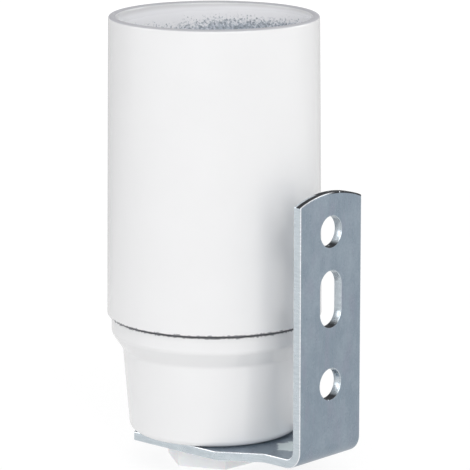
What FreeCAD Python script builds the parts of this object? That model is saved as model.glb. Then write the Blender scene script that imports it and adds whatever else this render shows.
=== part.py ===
import FreeCAD, Part
import math
import os
import Sketcher

from FreeCAD import Placement, Rotation, Vector

# A small screw-cap lamp holder on a bent wall bracket.
# The frame's origin is the centre of the cable bore's lower mouth, under the hexagon head.
# +Z runs up the holder to the lamp, and +X points at the wall that the bracket's leg is screwed to.
# Lengths are in millimetres and angles in degrees.

PARTS_FOLDER = "parts"

# Driving sizes: name, value, what it is
DRIVING_SIZES = [
    # Bracket
    ("sheet_thickness", 1.2, "thickness of the bracket's steel sheet"),
    ("leg_reach", 19.9, "holder axis to the leg's wall side"),
    ("leg_width", 11.8, "width of the leg and of the foot's neck"),
    ("leg_rise", 32.8, "foot's upper face to the leg's upper corners"),
    ("end_arc_radius", 16.0, "radius of the arc that ends the leg and the foot's pad"),
    ("bend_radius", 1.2, "inner radius of the bend"),
    ("pad_width", 18.6, "width of the foot's pad under the cap"),
    ("pad_tail", 5.8, "holder axis to the pad's rear corners"),
    ("pad_shoulder", 8.5, "holder axis to where the pad begins to narrow"),
    ("neck_start", 13.9, "holder axis to where the pad has narrowed to the neck"),
    ("foot_hole_gap", 0.1, "radial clearance of the nipple in the foot"),
    ("wall_hole", 4.0, "diameter of the wall screw holes and width of the slot"),
    ("low_hole_rise", 9.1, "foot's upper face to the lower wall hole"),
    ("high_hole_drop", 3.9, "leg's upper corners down to the upper wall hole"),
    ("slot_place", 0.56, "slot's centre as a share of the way from lower to upper hole"),
    ("slot_share", 0.37, "slot from end to end as a share of the same way"),
    # Nipple
    ("hex_step", 0.6, "how far the hexagon's flats stand out from the nipple's thread"),
    ("hex_height", 3.1, "height of the hexagon head"),
    ("hex_turn", 25.0, "turn of the hexagon's first corner from +X"),
    ("hex_chamfer", 0.12, "chamfer of the hexagon's lower edges"),
    ("nipple_diameter", 10.0, "outer diameter of the nipple's thread"),
    ("nipple_reach", 7.9, "length of the nipple's thread above the head"),
    ("cable_bore", 7.0, "diameter of the cable bore"),
    ("bore_rounding", 0.5, "rounding of the cable bore's lower mouth"),
    ("thread_gap", 0.05, "radial clearance of the nipple in the hub's thread"),
    # Cap
    ("cap_wall", 0.9, "wall of the cap"),
    ("cap_taper", 0.87, "how much the cap widens from its floor to its neck"),
    ("cap_base_rounding", 1.0, "rounding of the cap's lower edge"),
    ("shoulder_step", 1.45, "how far the collar stands out from the cap's neck"),
    ("cap_neck_rise", 10.85, "foot's upper face to the shoulder's foot"),
    ("cap_shoulder_height", 2.15, "height of the shoulder"),
    ("cap_shoulder_rounding", 1.1, "rounding at the shoulder's two ends"),
    ("collar_step", 0.55, "how far the sleeve's lower edge stands out from the collar"),
    ("seam_rise", 15.35, "foot's upper face to the sleeve's lower edge"),
    ("seam_gap", 0.2, "open seam between the collar and the sleeve"),
    ("spigot_rise", 6.35, "length of the cap's threaded spigot above the seam"),
    ("spigot_gap", 0.08, "radial clearance of the spigot in the sleeve"),
    ("roll_pitch", 1.5, "pitch of the rolled thread between sleeve and cap"),
    ("roll_depth", 0.3, "depth of the rolled thread"),
    # Hub
    ("hub_wall", 0.95, "wall of the threaded hub"),
    ("hub_flange_step", 1.4, "how far the hub's flange stands out on the cap's floor"),
    ("hub_flange_thickness", 1.0, "thickness of the hub's flange"),
    ("hub_spigot_wall", 0.75, "wall of the hub where it passes the cap's floor"),
    ("hub_spigot_gap", 0.05, "radial clearance of the hub in the cap's floor"),
    ("lug_width", 4.4, "width of the earth lug on the hub"),
    ("lug_edge", 0.35, "metal between the earth screw's hole and the lug's outer face"),
    ("lug_gap", 0.53, "earth lug's outer face to the cap's wall"),
    ("lug_height", 3.2, "height of the earth lug"),
    # Sleeve
    ("sleeve_taper", 0.4, "how much the sleeve narrows up to its rim"),
    ("sleeve_height", 39.15, "height of the sleeve"),
    ("sleeve_rim_wall", 1.0, "sleeve's wall at its rim"),
    ("sleeve_thread_wall", 0.95, "sleeve's wall where its thread is rolled"),
    ("rim_rounding", 0.4, "rounding of the sleeve's rim"),
    ("sleeve_edge_rounding", 0.25, "rounding of the sleeve's lower edge"),
    # Insulating body
    ("flange_gap", 0.2, "radial clearance of the insert's flange in the sleeve"),
    ("register_gap", 0.1, "radial clearance of the insert's register in the spigot"),
    ("flange_thickness", 1.6, "thickness of the insulating body's flange"),
    ("boss_height", 0.4, "height of the boss that carries the thread shell"),
    ("web_height", 6.0, "boss top to the roof of the terminal pockets"),
    ("skirt_gap", 1.5, "clearance of the insulating body's skirt in the cap's neck"),
    ("skirt_height", 6.5, "height of the skirt around the terminals"),
    ("register_height", 4.0, "height of the register in the spigot"),
    ("pocket_gap", 0.3, "clearance around a terminal in its pocket"),
    ("barrier", 1.2, "wall between the two terminals' pockets"),
    # Thread shell
    ("socket_minor_radius", 6.185, "radius over the crests of the lamp thread"),
    ("socket_pitch", 2.822, "pitch of the lamp thread"),
    ("socket_depth", 0.8, "depth of the lamp thread"),
    ("socket_turns", 5, "number of the lamp thread's ridges"),
    ("socket_foot", 1.3, "plain wall below the lamp thread"),
    ("socket_lip", 1.4, "plain wall above the lamp thread"),
    ("shell_sheet", 0.35, "sheet of the thread shell"),
    ("shell_eye_radius", 4.2, "radius of the hole in the shell's floor"),
    # Insulating ring
    ("ring_wall", 0.9, "wall of the insulating ring"),
    ("ring_flange_thickness", 1.2, "thickness of the ring's flange"),
    ("ring_gap", 0.3, "clearance of the ring in the sleeve's bore"),
    ("ring_shell_gap", 0.25, "clearance of the ring around and above the thread shell"),
    ("ring_top_thickness", 1.2, "thickness of the ring's upper face"),
    ("ring_collar_height", 6.0, "height of the ring's inner collar"),
    ("ring_lip", 0.3, "how far the ring's mouth covers the shell's edge"),
    # Centre contact
    ("strip_thickness", 0.35, "sheet of the contact spring"),
    ("strip_width", 3.2, "width of the contact spring"),
    ("strip_bend_radius", 0.8, "inner radius of the contact spring's bend"),
    ("strip_tail", 2.4, "holder axis to the end of the spring's lower leg"),
    ("strip_bend_reach", 2.0, "holder axis to the centre of the spring's bend"),
    ("strip_tip", 1.6, "holder axis to the end of the spring's upper leg"),
    ("button_radius", 1.2, "radius of the contact button"),
    ("button_height", 0.8, "height of the contact button above the spring"),
    ("button_rounding", 0.35, "rounding of the contact button"),
    ("button_stem_radius", 0.5, "radius of the button's stem in the spring"),
    ("button_stem_drop", 0.2, "peened end of the stem below the spring"),
    ("stem_gap", 0.02, "radial clearance of the button's stem"),
    # Rivets
    ("rivet_circle_radius", 5.6, "holder axis to the rivets and wire holes"),
    ("rivet_radius", 0.8, "radius of a rivet's shank"),
    ("rivet_head_radius", 1.1, "radius of a rivet's head"),
    ("rivet_head_height", 0.4, "height of a rivet's head"),
    ("rivet_gap", 0.05, "radial clearance of a rivet"),
    ("rivet_well_radius", 1.6, "radius of the well under the free rivet"),
    # Terminals
    ("terminal_half_length", 2.1, "wire hole's axis to the terminal's inner and outer faces"),
    ("terminal_width", 5.2, "width of a terminal"),
    ("terminal_height", 5.8, "height of a terminal"),
    ("wire_hole_radius", 1.25, "radius of a wire hole"),
    ("wire_hole_roof", 1.5, "metal above the wire hole"),
    ("tongue_thickness", 0.8, "thickness of the live terminal's tongue"),
    ("tongue_width", 3.2, "width of the live terminal's tongue"),
    ("tongue_overhang", 1.5, "tongue beyond the centre rivet's axis"),
    # Screws
    ("screw_radius", 1.25, "radius of a terminal screw's thread"),
    ("screw_gap", 0.05, "radial clearance of a screw in its thread"),
    ("screw_length", 1.4, "length of a terminal screw under its head"),
    ("earth_screw_length", 2.8, "length of the earth screw under its head"),
    ("head_radius", 1.9, "radius of a screw's head"),
    ("head_height", 1.5, "height of a screw's head"),
    ("head_rounding", 0.3, "rounding of a screw's head"),
    ("head_gap", 0.15, "clearance between the earth screw's head and the hub"),
    ("driver_slot_width", 0.6, "width of a screw's slot"),
    ("driver_slot_depth", 0.8, "depth of a screw's slot"),
]


class Size:
    """A length with its value now and the formula that the document keeps for it."""

    def __init__(self, value, formula):
        self.value = float(value)
        self.formula = formula

    def __add__(self, other):
        other = as_size(other)
        return Size(self.value + other.value, f"({self.formula} + {other.formula})")

    def __sub__(self, other):
        other = as_size(other)
        return Size(self.value - other.value, f"({self.formula} - {other.formula})")

    def __mul__(self, other):
        other = as_size(other)
        return Size(self.value * other.value, f"({self.formula} * {other.formula})")

    def __truediv__(self, other):
        other = as_size(other)
        return Size(self.value / other.value, f"({self.formula} / {other.formula})")

    def __neg__(self):
        return Size(-self.value, f"(-1 * {self.formula})")


def as_size(number):
    """Give a plain number the form of a size."""
    if isinstance(number, Size):
        return number
    return Size(number, str(number))


def fill_sheet(document):
    """Write the driving sizes to the document's sheet, one named cell each."""
    sheet = document.addObject("Spreadsheet::Sheet", "sizes")
    for row, (name, value, meaning) in enumerate(DRIVING_SIZES, start=1):
        sheet.set(f"A{row}", meaning)
        sheet.set(f"B{row}", str(value))
        sheet.setAlias(f"B{row}", name)
    document.recompute()
    return sheet


class Sizes:
    """The sheet's cells as sizes, read by their names."""

    def __init__(self, sheet):
        self.sheet = sheet

    def __getattr__(self, name):
        return Size(self.sheet.get(name), f"sizes.{name}")


doc = FreeCAD.newDocument("lamp_holder")
size = Sizes(fill_sheet(doc))
ZERO = as_size(0)
HALF_TURN = None
EDGE_TOLERANCE = 0.001
HEX_SIDES = 6
OVERRUN = 1.5
TURN_TO_X = Rotation(Vector(0, 1, 0), 90)
TURN_TO_MINUS_X = Rotation(Vector(0, 1, 0), -90)


# Drawing and feature helpers

def origin_item(body, role):
    """Find one plane or axis of a body's origin."""
    for item in body.Origin.OriginFeatures:
        if item.Role == role:
            return item
    raise ValueError(role)


def new_body(label):
    """Begin one sub-part."""
    body = doc.addObject("PartDesign::Body", label)
    body.Label = label
    return body


def new_sketch(body, name, role, offset=None):
    """Attach a sketch to a plane of the body's origin, lifted off it by an offset."""
    sketch = body.newObject("Sketcher::SketchObject", f"{body.Name}_{name}")
    sketch.AttachmentSupport = [(origin_item(body, role), "")]
    sketch.MapMode = "FlatFace"
    if offset is not None:
        sketch.setExpression("AttachmentOffset.Base.z", offset.formula)
    return sketch


def bind(feature, prop, length):
    """Set a feature's property and bind it to the sheet."""
    setattr(feature, prop, length.value)
    feature.setExpression(prop, length.formula)


def pin_point(sketch, edge, which, corner):
    """Hold one end of a sketch edge at its coordinates."""
    for kind, length in (("DistanceX", corner[0]), ("DistanceY", corner[1])):
        index = sketch.addConstraint(Sketcher.Constraint(kind, -1, 1, edge, which, length.value))
        sketch.setExpression(f"Constraints[{index}]", length.formula)


def arc_between(start, end, radius, leftward):
    """Make the short arc between two points whose centre lies left or right of the way along."""
    first = Vector(start[0].value, start[1].value, 0)
    last = Vector(end[0].value, end[1].value, 0)
    chord = last - first
    across = Vector(-chord.y, chord.x, 0).normalize()
    if not leftward:
        across = across * -1
    length = chord.Length / 2 if radius is HALF_TURN else radius.value
    rise = math.sqrt(max(length ** 2 - (chord.Length / 2) ** 2, 0))
    centre = (first + last) / 2 + across * rise
    crown = centre - across * length
    return Part.Arc(first, crown, last)


def fix_arc(sketch, edge, corner, following):
    """Hold an arc's radius, or the centre of a half turn between two points on a level or a plumb line."""
    if corner[2] is not HALF_TURN:
        row = sketch.addConstraint(Sketcher.Constraint("Radius", edge, corner[2].value))
        sketch.setExpression(f"Constraints[{row}]", corner[2].formula)
        return
    plumb = corner[0].formula == following[0].formula
    kind, length = ("DistanceX", corner[0]) if plumb else ("DistanceY", corner[1])
    row = sketch.addConstraint(Sketcher.Constraint(kind, -1, 1, edge, 3, length.value))
    sketch.setExpression(f"Constraints[{row}]", length.formula)


def draw_outline(sketch, corners):
    """Draw a closed outline.

    Each corner is (x, y) for a straight edge to the next corner, or (x, y, radius, leftward)
    for an arc to it.
    """
    count = len(corners)
    edges = []
    for index, corner in enumerate(corners):
        following = corners[(index + 1) % count]
        if len(corner) > 2:
            shape = arc_between(corner, following, corner[2], corner[3])
        else:
            first = Vector(corner[0].value, corner[1].value, 0)
            last = Vector(following[0].value, following[1].value, 0)
            shape = Part.LineSegment(first, last)
        edges.append(sketch.addGeometry(shape, False))
    ends = []
    for corner in corners:
        clockwise = len(corner) > 2 and not corner[3]
        ends.append((2, 1) if clockwise else (1, 2))
    for index, corner in enumerate(corners):
        following = (index + 1) % count
        joint = Sketcher.Constraint(
            "Coincident", edges[index], ends[index][1], edges[following], ends[following][0]
        )
        sketch.addConstraint(joint)
        pin_point(sketch, edges[index], ends[index][0], corner)
        if len(corner) > 2:
            fix_arc(sketch, edges[index], corner, corners[following])


def draw_circle(sketch, centre, radius):
    """Draw a circle."""
    middle = Vector(centre[0].value, centre[1].value, 0)
    edge = sketch.addGeometry(Part.Circle(middle, Vector(0, 0, 1), radius.value), False)
    pin_point(sketch, edge, 3, centre)
    row = sketch.addConstraint(Sketcher.Constraint("Radius", edge, radius.value))
    sketch.setExpression(f"Constraints[{row}]", radius.formula)


def draw_slot(sketch, middle, half_travel, radius):
    """Draw an upright slot with round ends."""
    edges = []
    for lift, begin in ((half_travel, 0), (-half_travel, math.pi)):
        centre = (ZERO, middle + lift)
        circle = Part.Circle(Vector(0, centre[1].value, 0), Vector(0, 0, 1), radius.value)
        end = sketch.addGeometry(Part.ArcOfCircle(circle, begin, begin + math.pi), False)
        pin_point(sketch, end, 3, centre)
        edges.append(end)
    upper, lower = edges
    for first, last, reach in ((upper, lower, -radius), (lower, upper, radius)):
        high = Vector(reach.value, (middle + half_travel).value, 0)
        low = Vector(reach.value, (middle - half_travel).value, 0)
        ends = (high, low) if first == upper else (low, high)
        side = sketch.addGeometry(Part.LineSegment(*ends), False)
        sketch.addConstraint(Sketcher.Constraint("Tangent", first, 2, side, 1))
        sketch.addConstraint(Sketcher.Constraint("Tangent", side, 2, last, 1))
    sketch.addConstraint(Sketcher.Constraint("Equal", upper, lower))
    row = sketch.addConstraint(Sketcher.Constraint("Radius", upper, radius.value))
    sketch.setExpression(f"Constraints[{row}]", radius.formula)


def box_corners(low_x, high_x, low_y, high_y):
    """List a rectangle's corners."""
    return [(low_x, low_y), (high_x, low_y), (high_x, high_y), (low_x, high_y)]


def add_turned(body, name, corners):
    """Turn a half section, drawn as radius and height, around the holder's axis."""
    sketch = new_sketch(body, f"{name}_section", "XZ_Plane")
    draw_outline(sketch, corners)
    turned = body.newObject("PartDesign::Revolution", f"{body.Name}_{name}")
    turned.Profile = sketch
    turned.ReferenceAxis = (sketch, ["V_Axis"])
    turned.Angle = 360
    doc.recompute()
    return turned


def add_pad(body, name, sketch, length, symmetric=False):
    """Thicken a sketch into the body."""
    pad = body.newObject("PartDesign::Pad", f"{body.Name}_{name}")
    pad.Profile = sketch
    bind(pad, "Length", length)
    if symmetric:
        pad.SideType = "Symmetric"
    doc.recompute()
    return pad


def add_pocket(body, name, sketch, length, reverse=False, symmetric=False):
    """Cut a sketch out of the body, and check that it removed something."""
    before = body.Shape.Volume
    pocket = body.newObject("PartDesign::Pocket", f"{body.Name}_{name}")
    pocket.Profile = sketch
    bind(pocket, "Length", length)
    pocket.Reversed = reverse
    if symmetric:
        pocket.SideType = "Symmetric"
    doc.recompute()
    if body.Shape.Volume >= before:
        raise RuntimeError(f"{body.Name}_{name} cuts nothing")
    return pocket


def ring_edges(shape, radius, height):
    """Name the circular edges around the holder's axis with this radius and height."""
    names = []
    for number, edge in enumerate(shape.Edges, start=1):
        curve = edge.Curve
        if not isinstance(curve, Part.Circle):
            continue
        on_axis = math.hypot(curve.Center.x, curve.Center.y) < EDGE_TOLERANCE
        same_radius = abs(curve.Radius - radius.value) < EDGE_TOLERANCE
        if on_axis and same_radius and abs(curve.Center.z - height.value) < EDGE_TOLERANCE:
            names.append(f"Edge{number}")
    return names


def add_edge_feature(body, kind, prop, name, edges, length):
    """Round or chamfer named edges of the body's tip."""
    if not edges:
        raise RuntimeError(f"{body.Name}_{name} finds no edge")
    base = body.Tip
    feature = body.newObject(kind, f"{body.Name}_{name}")
    feature.Base = (base, edges)
    bind(feature, prop, length)
    doc.recompute()
    return feature


def round_ring(body, name, radius, height, rounding):
    """Round a circular edge around the holder's axis."""
    edges = ring_edges(body.Shape, radius, height)
    add_edge_feature(body, "PartDesign::Fillet", "Radius", name, edges, rounding)


def named_cylinder(name, radius, height, place):
    """Make a cylinder whose sizes are bound to the sheet."""
    cylinder = doc.addObject("Part::Cylinder", name)
    bind(cylinder, "Radius", radius)
    bind(cylinder, "Height", height)
    place_object(cylinder, place)
    return cylinder


def place_object(item, place, rotation=Rotation()):
    """Put an object at three sizes, bound to the sheet."""
    item.Placement = Placement(Vector(*(length.value for length in place)), rotation)
    for axis, length in zip("xyz", place):
        item.setExpression(f".Placement.Base.{axis}", length.formula)


def boolean(kind, name, base, tool):
    """Fuse or cut two objects."""
    result = doc.addObject(kind, name)
    result.Base = base
    result.Tool = tool
    doc.recompute()
    return result


# Levels up the holder's axis and radii that several pieces share

foot_top = size.hex_height + size.sheet_thickness
cap_floor = foot_top + size.cap_wall
seam = foot_top + size.seam_rise
spigot_top = seam + size.spigot_rise
flange_top = spigot_top + size.flange_thickness
boss_top = flange_top + size.boss_height
pocket_roof = boss_top - size.web_height
ledge = flange_top + size.ring_flange_thickness
rim = seam + size.sleeve_height
nipple_top = size.hex_height + size.nipple_reach
shell_floor = boss_top + size.shell_sheet
shell_top = shell_floor + size.socket_foot + size.socket_pitch * size.socket_turns + size.socket_lip
ring_top = shell_top + size.ring_shell_gap + size.ring_top_thickness
strip_top = boss_top + size.strip_thickness * 2 + size.strip_bend_radius * 2

nipple_radius = size.nipple_diameter / 2
thread_bore_radius = nipple_radius + size.thread_gap
hub_radius = thread_bore_radius + size.hub_wall
hub_spigot_radius = thread_bore_radius + size.hub_spigot_wall
earth_screw_reach = hub_radius + size.head_gap + size.head_radius
lug_reach = earth_screw_reach + size.screw_radius + size.screw_gap + size.lug_edge
cap_base_radius = lug_reach + size.lug_gap + size.cap_wall
cap_neck_radius = cap_base_radius + size.cap_taper
collar_radius = cap_neck_radius + size.shoulder_step
sleeve_base_radius = collar_radius + size.collar_step
sleeve_top_radius = sleeve_base_radius - size.sleeve_taper
sleeve_bore_radius = sleeve_top_radius - size.sleeve_rim_wall
sleeve_thread_radius = sleeve_base_radius - size.sleeve_thread_wall
spigot_radius = sleeve_thread_radius - size.spigot_gap
spigot_bore_radius = spigot_radius - size.cap_wall
flange_radius = sleeve_thread_radius - size.flange_gap
skirt_radius = cap_neck_radius - size.cap_wall - size.skirt_gap
shell_major_radius = size.socket_minor_radius + size.socket_depth
shell_outer_radius = shell_major_radius + size.shell_sheet


def roll_thread(radius, low, high, depth):
    """List the corners of a rolled thread on a wall of this radius, from low to high."""
    turns = int((high.value - low.value) / size.roll_pitch.value)
    corners = []
    for turn in range(turns):
        start = low + size.roll_pitch * turn
        corners.append((radius, start))
        corners.append((radius + depth, start + size.roll_pitch / 2))
    corners.append((radius, low + size.roll_pitch * turns))
    return corners


# Bracket: one strip of steel sheet, cut to shape and bent once

def make_bracket():
    """Bend the sheet into foot and leg, then cut the holes."""
    body = new_body("bracket")
    outer_bend = size.bend_radius + size.sheet_thickness
    leg_inside = size.leg_reach - size.sheet_thickness
    leg_corner = foot_top + size.leg_rise
    leg_end = leg_corner + size.leg_width / 2

    profile = new_sketch(body, "bend_section", "XZ_Plane")
    draw_outline(profile, [
        (size.pad_shoulder, size.hex_height),
        (size.leg_reach - outer_bend, size.hex_height, outer_bend, True),
        (size.leg_reach, size.hex_height + outer_bend),
        (size.leg_reach, leg_end),
        (leg_inside, leg_end),
        (leg_inside, foot_top + size.bend_radius, size.bend_radius, False),
        (leg_inside - size.bend_radius, foot_top),
        (size.pad_shoulder, foot_top),
    ])
    add_pad(body, "strip", profile, size.leg_width, symmetric=True)

    pad_half = size.pad_width / 2
    neck_half = size.leg_width / 2
    pad = new_sketch(body, "pad_outline", "XY_Plane", size.hex_height)
    draw_outline(pad, [
        (-size.pad_tail, -pad_half),
        (size.pad_shoulder, -pad_half),
        (size.neck_start, -neck_half),
        (size.neck_start, neck_half),
        (size.pad_shoulder, pad_half),
        (-size.pad_tail, pad_half, size.end_arc_radius, True),
    ])
    add_pad(body, "pad", pad, size.sheet_thickness)

    beyond = leg_end + size.leg_width
    ends = new_sketch(body, "leg_end", "YZ_Plane")
    draw_outline(ends, [
        (neck_half, leg_corner, size.end_arc_radius, True),
        (-neck_half, leg_corner),
        (-size.leg_width, leg_corner),
        (-size.leg_width, beyond),
        (size.leg_width, beyond),
        (size.leg_width, leg_corner),
    ])
    add_pocket(body, "leg_arc", ends, size.leg_reach * 2, symmetric=True)

    hole_radius = size.wall_hole / 2
    low_hole = foot_top + size.low_hole_rise
    high_hole = leg_corner - size.high_hole_drop
    spacing = high_hole - low_hole
    holes = new_sketch(body, "wall_holes", "YZ_Plane")
    for height in (low_hole, high_hole):
        draw_circle(holes, (ZERO, height), hole_radius)
    slot_travel = spacing * size.slot_share / 2 - hole_radius
    draw_slot(holes, low_hole + spacing * size.slot_place, slot_travel, hole_radius)
    add_pocket(body, "wall_hole_cut", holes, size.leg_reach * 2, symmetric=True)

    eye = new_sketch(body, "nipple_hole", "XY_Plane")
    draw_circle(eye, (ZERO, ZERO), nipple_radius + size.foot_hole_gap)
    add_pocket(body, "nipple_hole_cut", eye, foot_top * 2, symmetric=True)
    return body


# Nipple: hollow threaded bolt with a hexagon head, which clamps the foot to the cap

def make_nipple():
    """Join the head and the shank, and bore them."""
    head = doc.addObject("Part::Prism", "nipple_head")
    head.Polygon = HEX_SIDES
    hex_half = nipple_radius + size.hex_step
    bind(head, "Circumradius", hex_half / math.cos(math.pi / HEX_SIDES))
    bind(head, "Height", size.hex_height)
    head.Placement = Placement(Vector(), Rotation(Vector(0, 0, 1), size.hex_turn.value))
    head.setExpression("Placement.Rotation.Angle", size.hex_turn.formula)
    doc.recompute()
    lower_edges = []
    for number, edge in enumerate(head.Shape.Edges, start=1):
        if edge.BoundBox.ZMax < EDGE_TOLERANCE:
            lower_edges.append((number, size.hex_chamfer.value, size.hex_chamfer.value))
    soft_head = doc.addObject("Part::Chamfer", "nipple_soft_head")
    soft_head.Base = head
    soft_head.Edges = lower_edges
    shank = named_cylinder("nipple_shank", nipple_radius, size.nipple_reach, (ZERO, ZERO, size.hex_height))
    solid = boolean("Part::Fuse", "nipple_solid", soft_head, shank)
    bore = named_cylinder("nipple_bore", size.cable_bore / 2, nipple_top, (ZERO, ZERO, ZERO))
    bored = boolean("Part::Cut", "nipple_bored", solid, bore)
    mouth = []
    for number, edge in enumerate(bored.Shape.Edges, start=1):
        round_edge = isinstance(edge.Curve, Part.Circle)
        if round_edge and edge.BoundBox.ZMax < EDGE_TOLERANCE:
            mouth.append((number, size.bore_rounding.value, size.bore_rounding.value))
    nipple = doc.addObject("Part::Fillet", "nipple")
    nipple.Label = "nipple"
    nipple.Base = bored
    nipple.Edges = mouth
    doc.recompute()
    return nipple


# Hub: threaded bush riveted into the cap's floor, with the earth lug beside it

def make_hub():
    """Turn the bush, add the lug and tap it for the earth screw."""
    body = new_body("hub")
    flange_reach = hub_radius + size.hub_flange_step
    add_turned(body, "bush", [
        (thread_bore_radius, foot_top),
        (hub_spigot_radius, foot_top),
        (hub_spigot_radius, cap_floor),
        (flange_reach, cap_floor),
        (flange_reach, cap_floor + size.hub_flange_thickness),
        (hub_radius, cap_floor + size.hub_flange_thickness),
        (hub_radius, nipple_top),
        (thread_bore_radius, nipple_top),
    ])
    half = size.lug_width / 2
    outline = new_sketch(body, "lug_outline", "XY_Plane", cap_floor)
    root = (thread_bore_radius + hub_radius) / 2
    draw_outline(outline, box_corners(-half, half, root, lug_reach))
    add_pad(body, "lug", outline, size.lug_height)
    hole = new_sketch(body, "earth_hole", "XY_Plane", cap_floor)
    draw_circle(hole, (ZERO, earth_screw_reach), size.screw_radius + size.screw_gap)
    add_pocket(body, "earth_tap", hole, size.lug_height, reverse=True)
    return body


# Cap: drawn sheet, tapered, with a soft shoulder, a collar and a rolled thread on its spigot

def make_cap():
    """Turn the cap's section and round its edges."""
    body = new_body("cap")
    neck_inside = cap_neck_radius - size.cap_wall
    neck = foot_top + size.cap_neck_rise
    shoulder = neck + size.cap_shoulder_height
    slope = size.cap_shoulder_height / (collar_radius - cap_neck_radius)
    inner_neck = neck + size.cap_wall / 2
    inner_shoulder = inner_neck + (spigot_bore_radius - neck_inside) * slope
    collar_top = seam - size.seam_gap
    floor_hole = hub_spigot_radius + size.hub_spigot_gap
    thread = roll_thread(spigot_radius, seam, spigot_top - size.roll_pitch / 2, -size.roll_depth)
    add_turned(body, "wall", [
        (floor_hole, foot_top),
        (cap_base_radius, foot_top),
        (cap_neck_radius, neck),
        (collar_radius, shoulder),
        (collar_radius, collar_top),
        (spigot_radius, collar_top),
        *thread,
        (spigot_radius, spigot_top),
        (spigot_bore_radius, spigot_top),
        (spigot_bore_radius, inner_shoulder),
        (neck_inside, inner_neck),
        (cap_base_radius - size.cap_wall, cap_floor),
        (floor_hole, cap_floor),
    ])
    round_ring(body, "base_edge", cap_base_radius, foot_top, size.cap_base_rounding)
    round_ring(body, "neck_edge", cap_neck_radius, neck, size.cap_shoulder_rounding)
    round_ring(body, "shoulder_edge", collar_radius, shoulder, size.cap_shoulder_rounding)
    return body


# Sleeve: drawn tube that screws over the cap's spigot and clamps the insert under its ledge

def make_sleeve():
    """Turn the sleeve's section and round its edges."""
    body = new_body("sleeve")
    thread = roll_thread(sleeve_thread_radius, seam + size.roll_pitch / 2, spigot_top, size.roll_depth)
    add_turned(body, "wall", [
        (sleeve_base_radius, seam),
        (sleeve_top_radius, rim),
        (sleeve_bore_radius, rim),
        (sleeve_bore_radius, ledge),
        (sleeve_thread_radius, ledge),
        *reversed(thread),
        (sleeve_thread_radius, seam),
    ])
    round_ring(body, "rim_outside", sleeve_top_radius, rim, size.rim_rounding)
    round_ring(body, "rim_inside", sleeve_bore_radius, rim, size.rim_rounding)
    round_ring(body, "lower_edge", sleeve_base_radius, seam, size.sleeve_edge_rounding)
    return body


# Insert body: ceramic disc that carries the contacts and keeps the two terminals apart

terminal_inside = size.rivet_circle_radius - size.terminal_half_length
terminal_outside = size.rivet_circle_radius + size.terminal_half_length
pocket_inside = terminal_inside - size.pocket_gap
skirt_bottom = pocket_roof - size.skirt_height


def make_insert_body():
    """Turn the disc, then cut the terminal pockets and the rivet holes."""
    body = new_body("insert_body")
    register_radius = spigot_bore_radius - size.register_gap
    boss_radius = shell_outer_radius
    core = size.rivet_radius + size.rivet_gap
    add_turned(body, "disc", [
        (core, skirt_bottom),
        (skirt_radius, skirt_bottom),
        (skirt_radius, spigot_top - size.register_height),
        (register_radius, spigot_top - size.register_height),
        (register_radius, spigot_top),
        (flange_radius, spigot_top),
        (flange_radius, flange_top),
        (boss_radius, flange_top),
        (boss_radius, boss_top),
        (core, boss_top),
    ])
    half = size.terminal_width / 2 + size.pocket_gap
    pockets = new_sketch(body, "pocket_outline", "XY_Plane", skirt_bottom)
    draw_outline(pockets, box_corners(pocket_inside, skirt_radius * 2, -half, half))
    draw_outline(pockets, box_corners(-(skirt_radius * 2), -pocket_inside, -half, half))
    add_pocket(body, "terminal_pockets", pockets, size.skirt_height, reverse=True)
    slot_half = size.tongue_width / 2 + size.pocket_gap
    slot = new_sketch(body, "tongue_outline", "XY_Plane", skirt_bottom)
    slot_end = size.barrier - pocket_inside
    draw_outline(slot, box_corners(slot_end, pocket_inside + size.pocket_gap, -slot_half, slot_half))
    add_pocket(body, "tongue_slot", slot, size.skirt_height, reverse=True)
    holes = new_sketch(body, "rivet_holes", "XY_Plane", skirt_bottom)
    draw_circle(holes, (-size.rivet_circle_radius, ZERO), core)
    draw_circle(holes, (ZERO, size.rivet_circle_radius), core)
    add_pocket(body, "rivet_drill", holes, boss_top - skirt_bottom, reverse=True)
    well = new_sketch(body, "rivet_well", "XY_Plane", skirt_bottom)
    draw_circle(well, (ZERO, size.rivet_circle_radius), size.rivet_well_radius)
    add_pocket(body, "rivet_well_cut", well, size.skirt_height, reverse=True)
    return body


# Thread shell: drawn brass cup whose rolled wall takes the lamp's screw cap

def wave(radius, low, upward):
    """List the arcs of the round lamp thread on a wall whose mean radius is given.

    Each half pitch is one arc, and its radius follows from the pitch and the depth.
    """
    half_pitch = size.socket_pitch / 2
    rise = size.socket_depth / 2
    arc_radius = (half_pitch * half_pitch / 4 + rise * rise) / (rise * 2)
    corners = []
    halves = int(size.socket_turns.value) * 2
    for step in range(halves):
        inward = step % 2 == 0
        if upward:
            corners.append((radius, low + half_pitch * step, arc_radius, not inward))
        else:
            place = low + half_pitch * (halves - step)
            corners.append((radius, place, arc_radius, not inward))
    end = low + half_pitch * (halves if upward else 0)
    corners.append((radius, end))
    return corners


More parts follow.
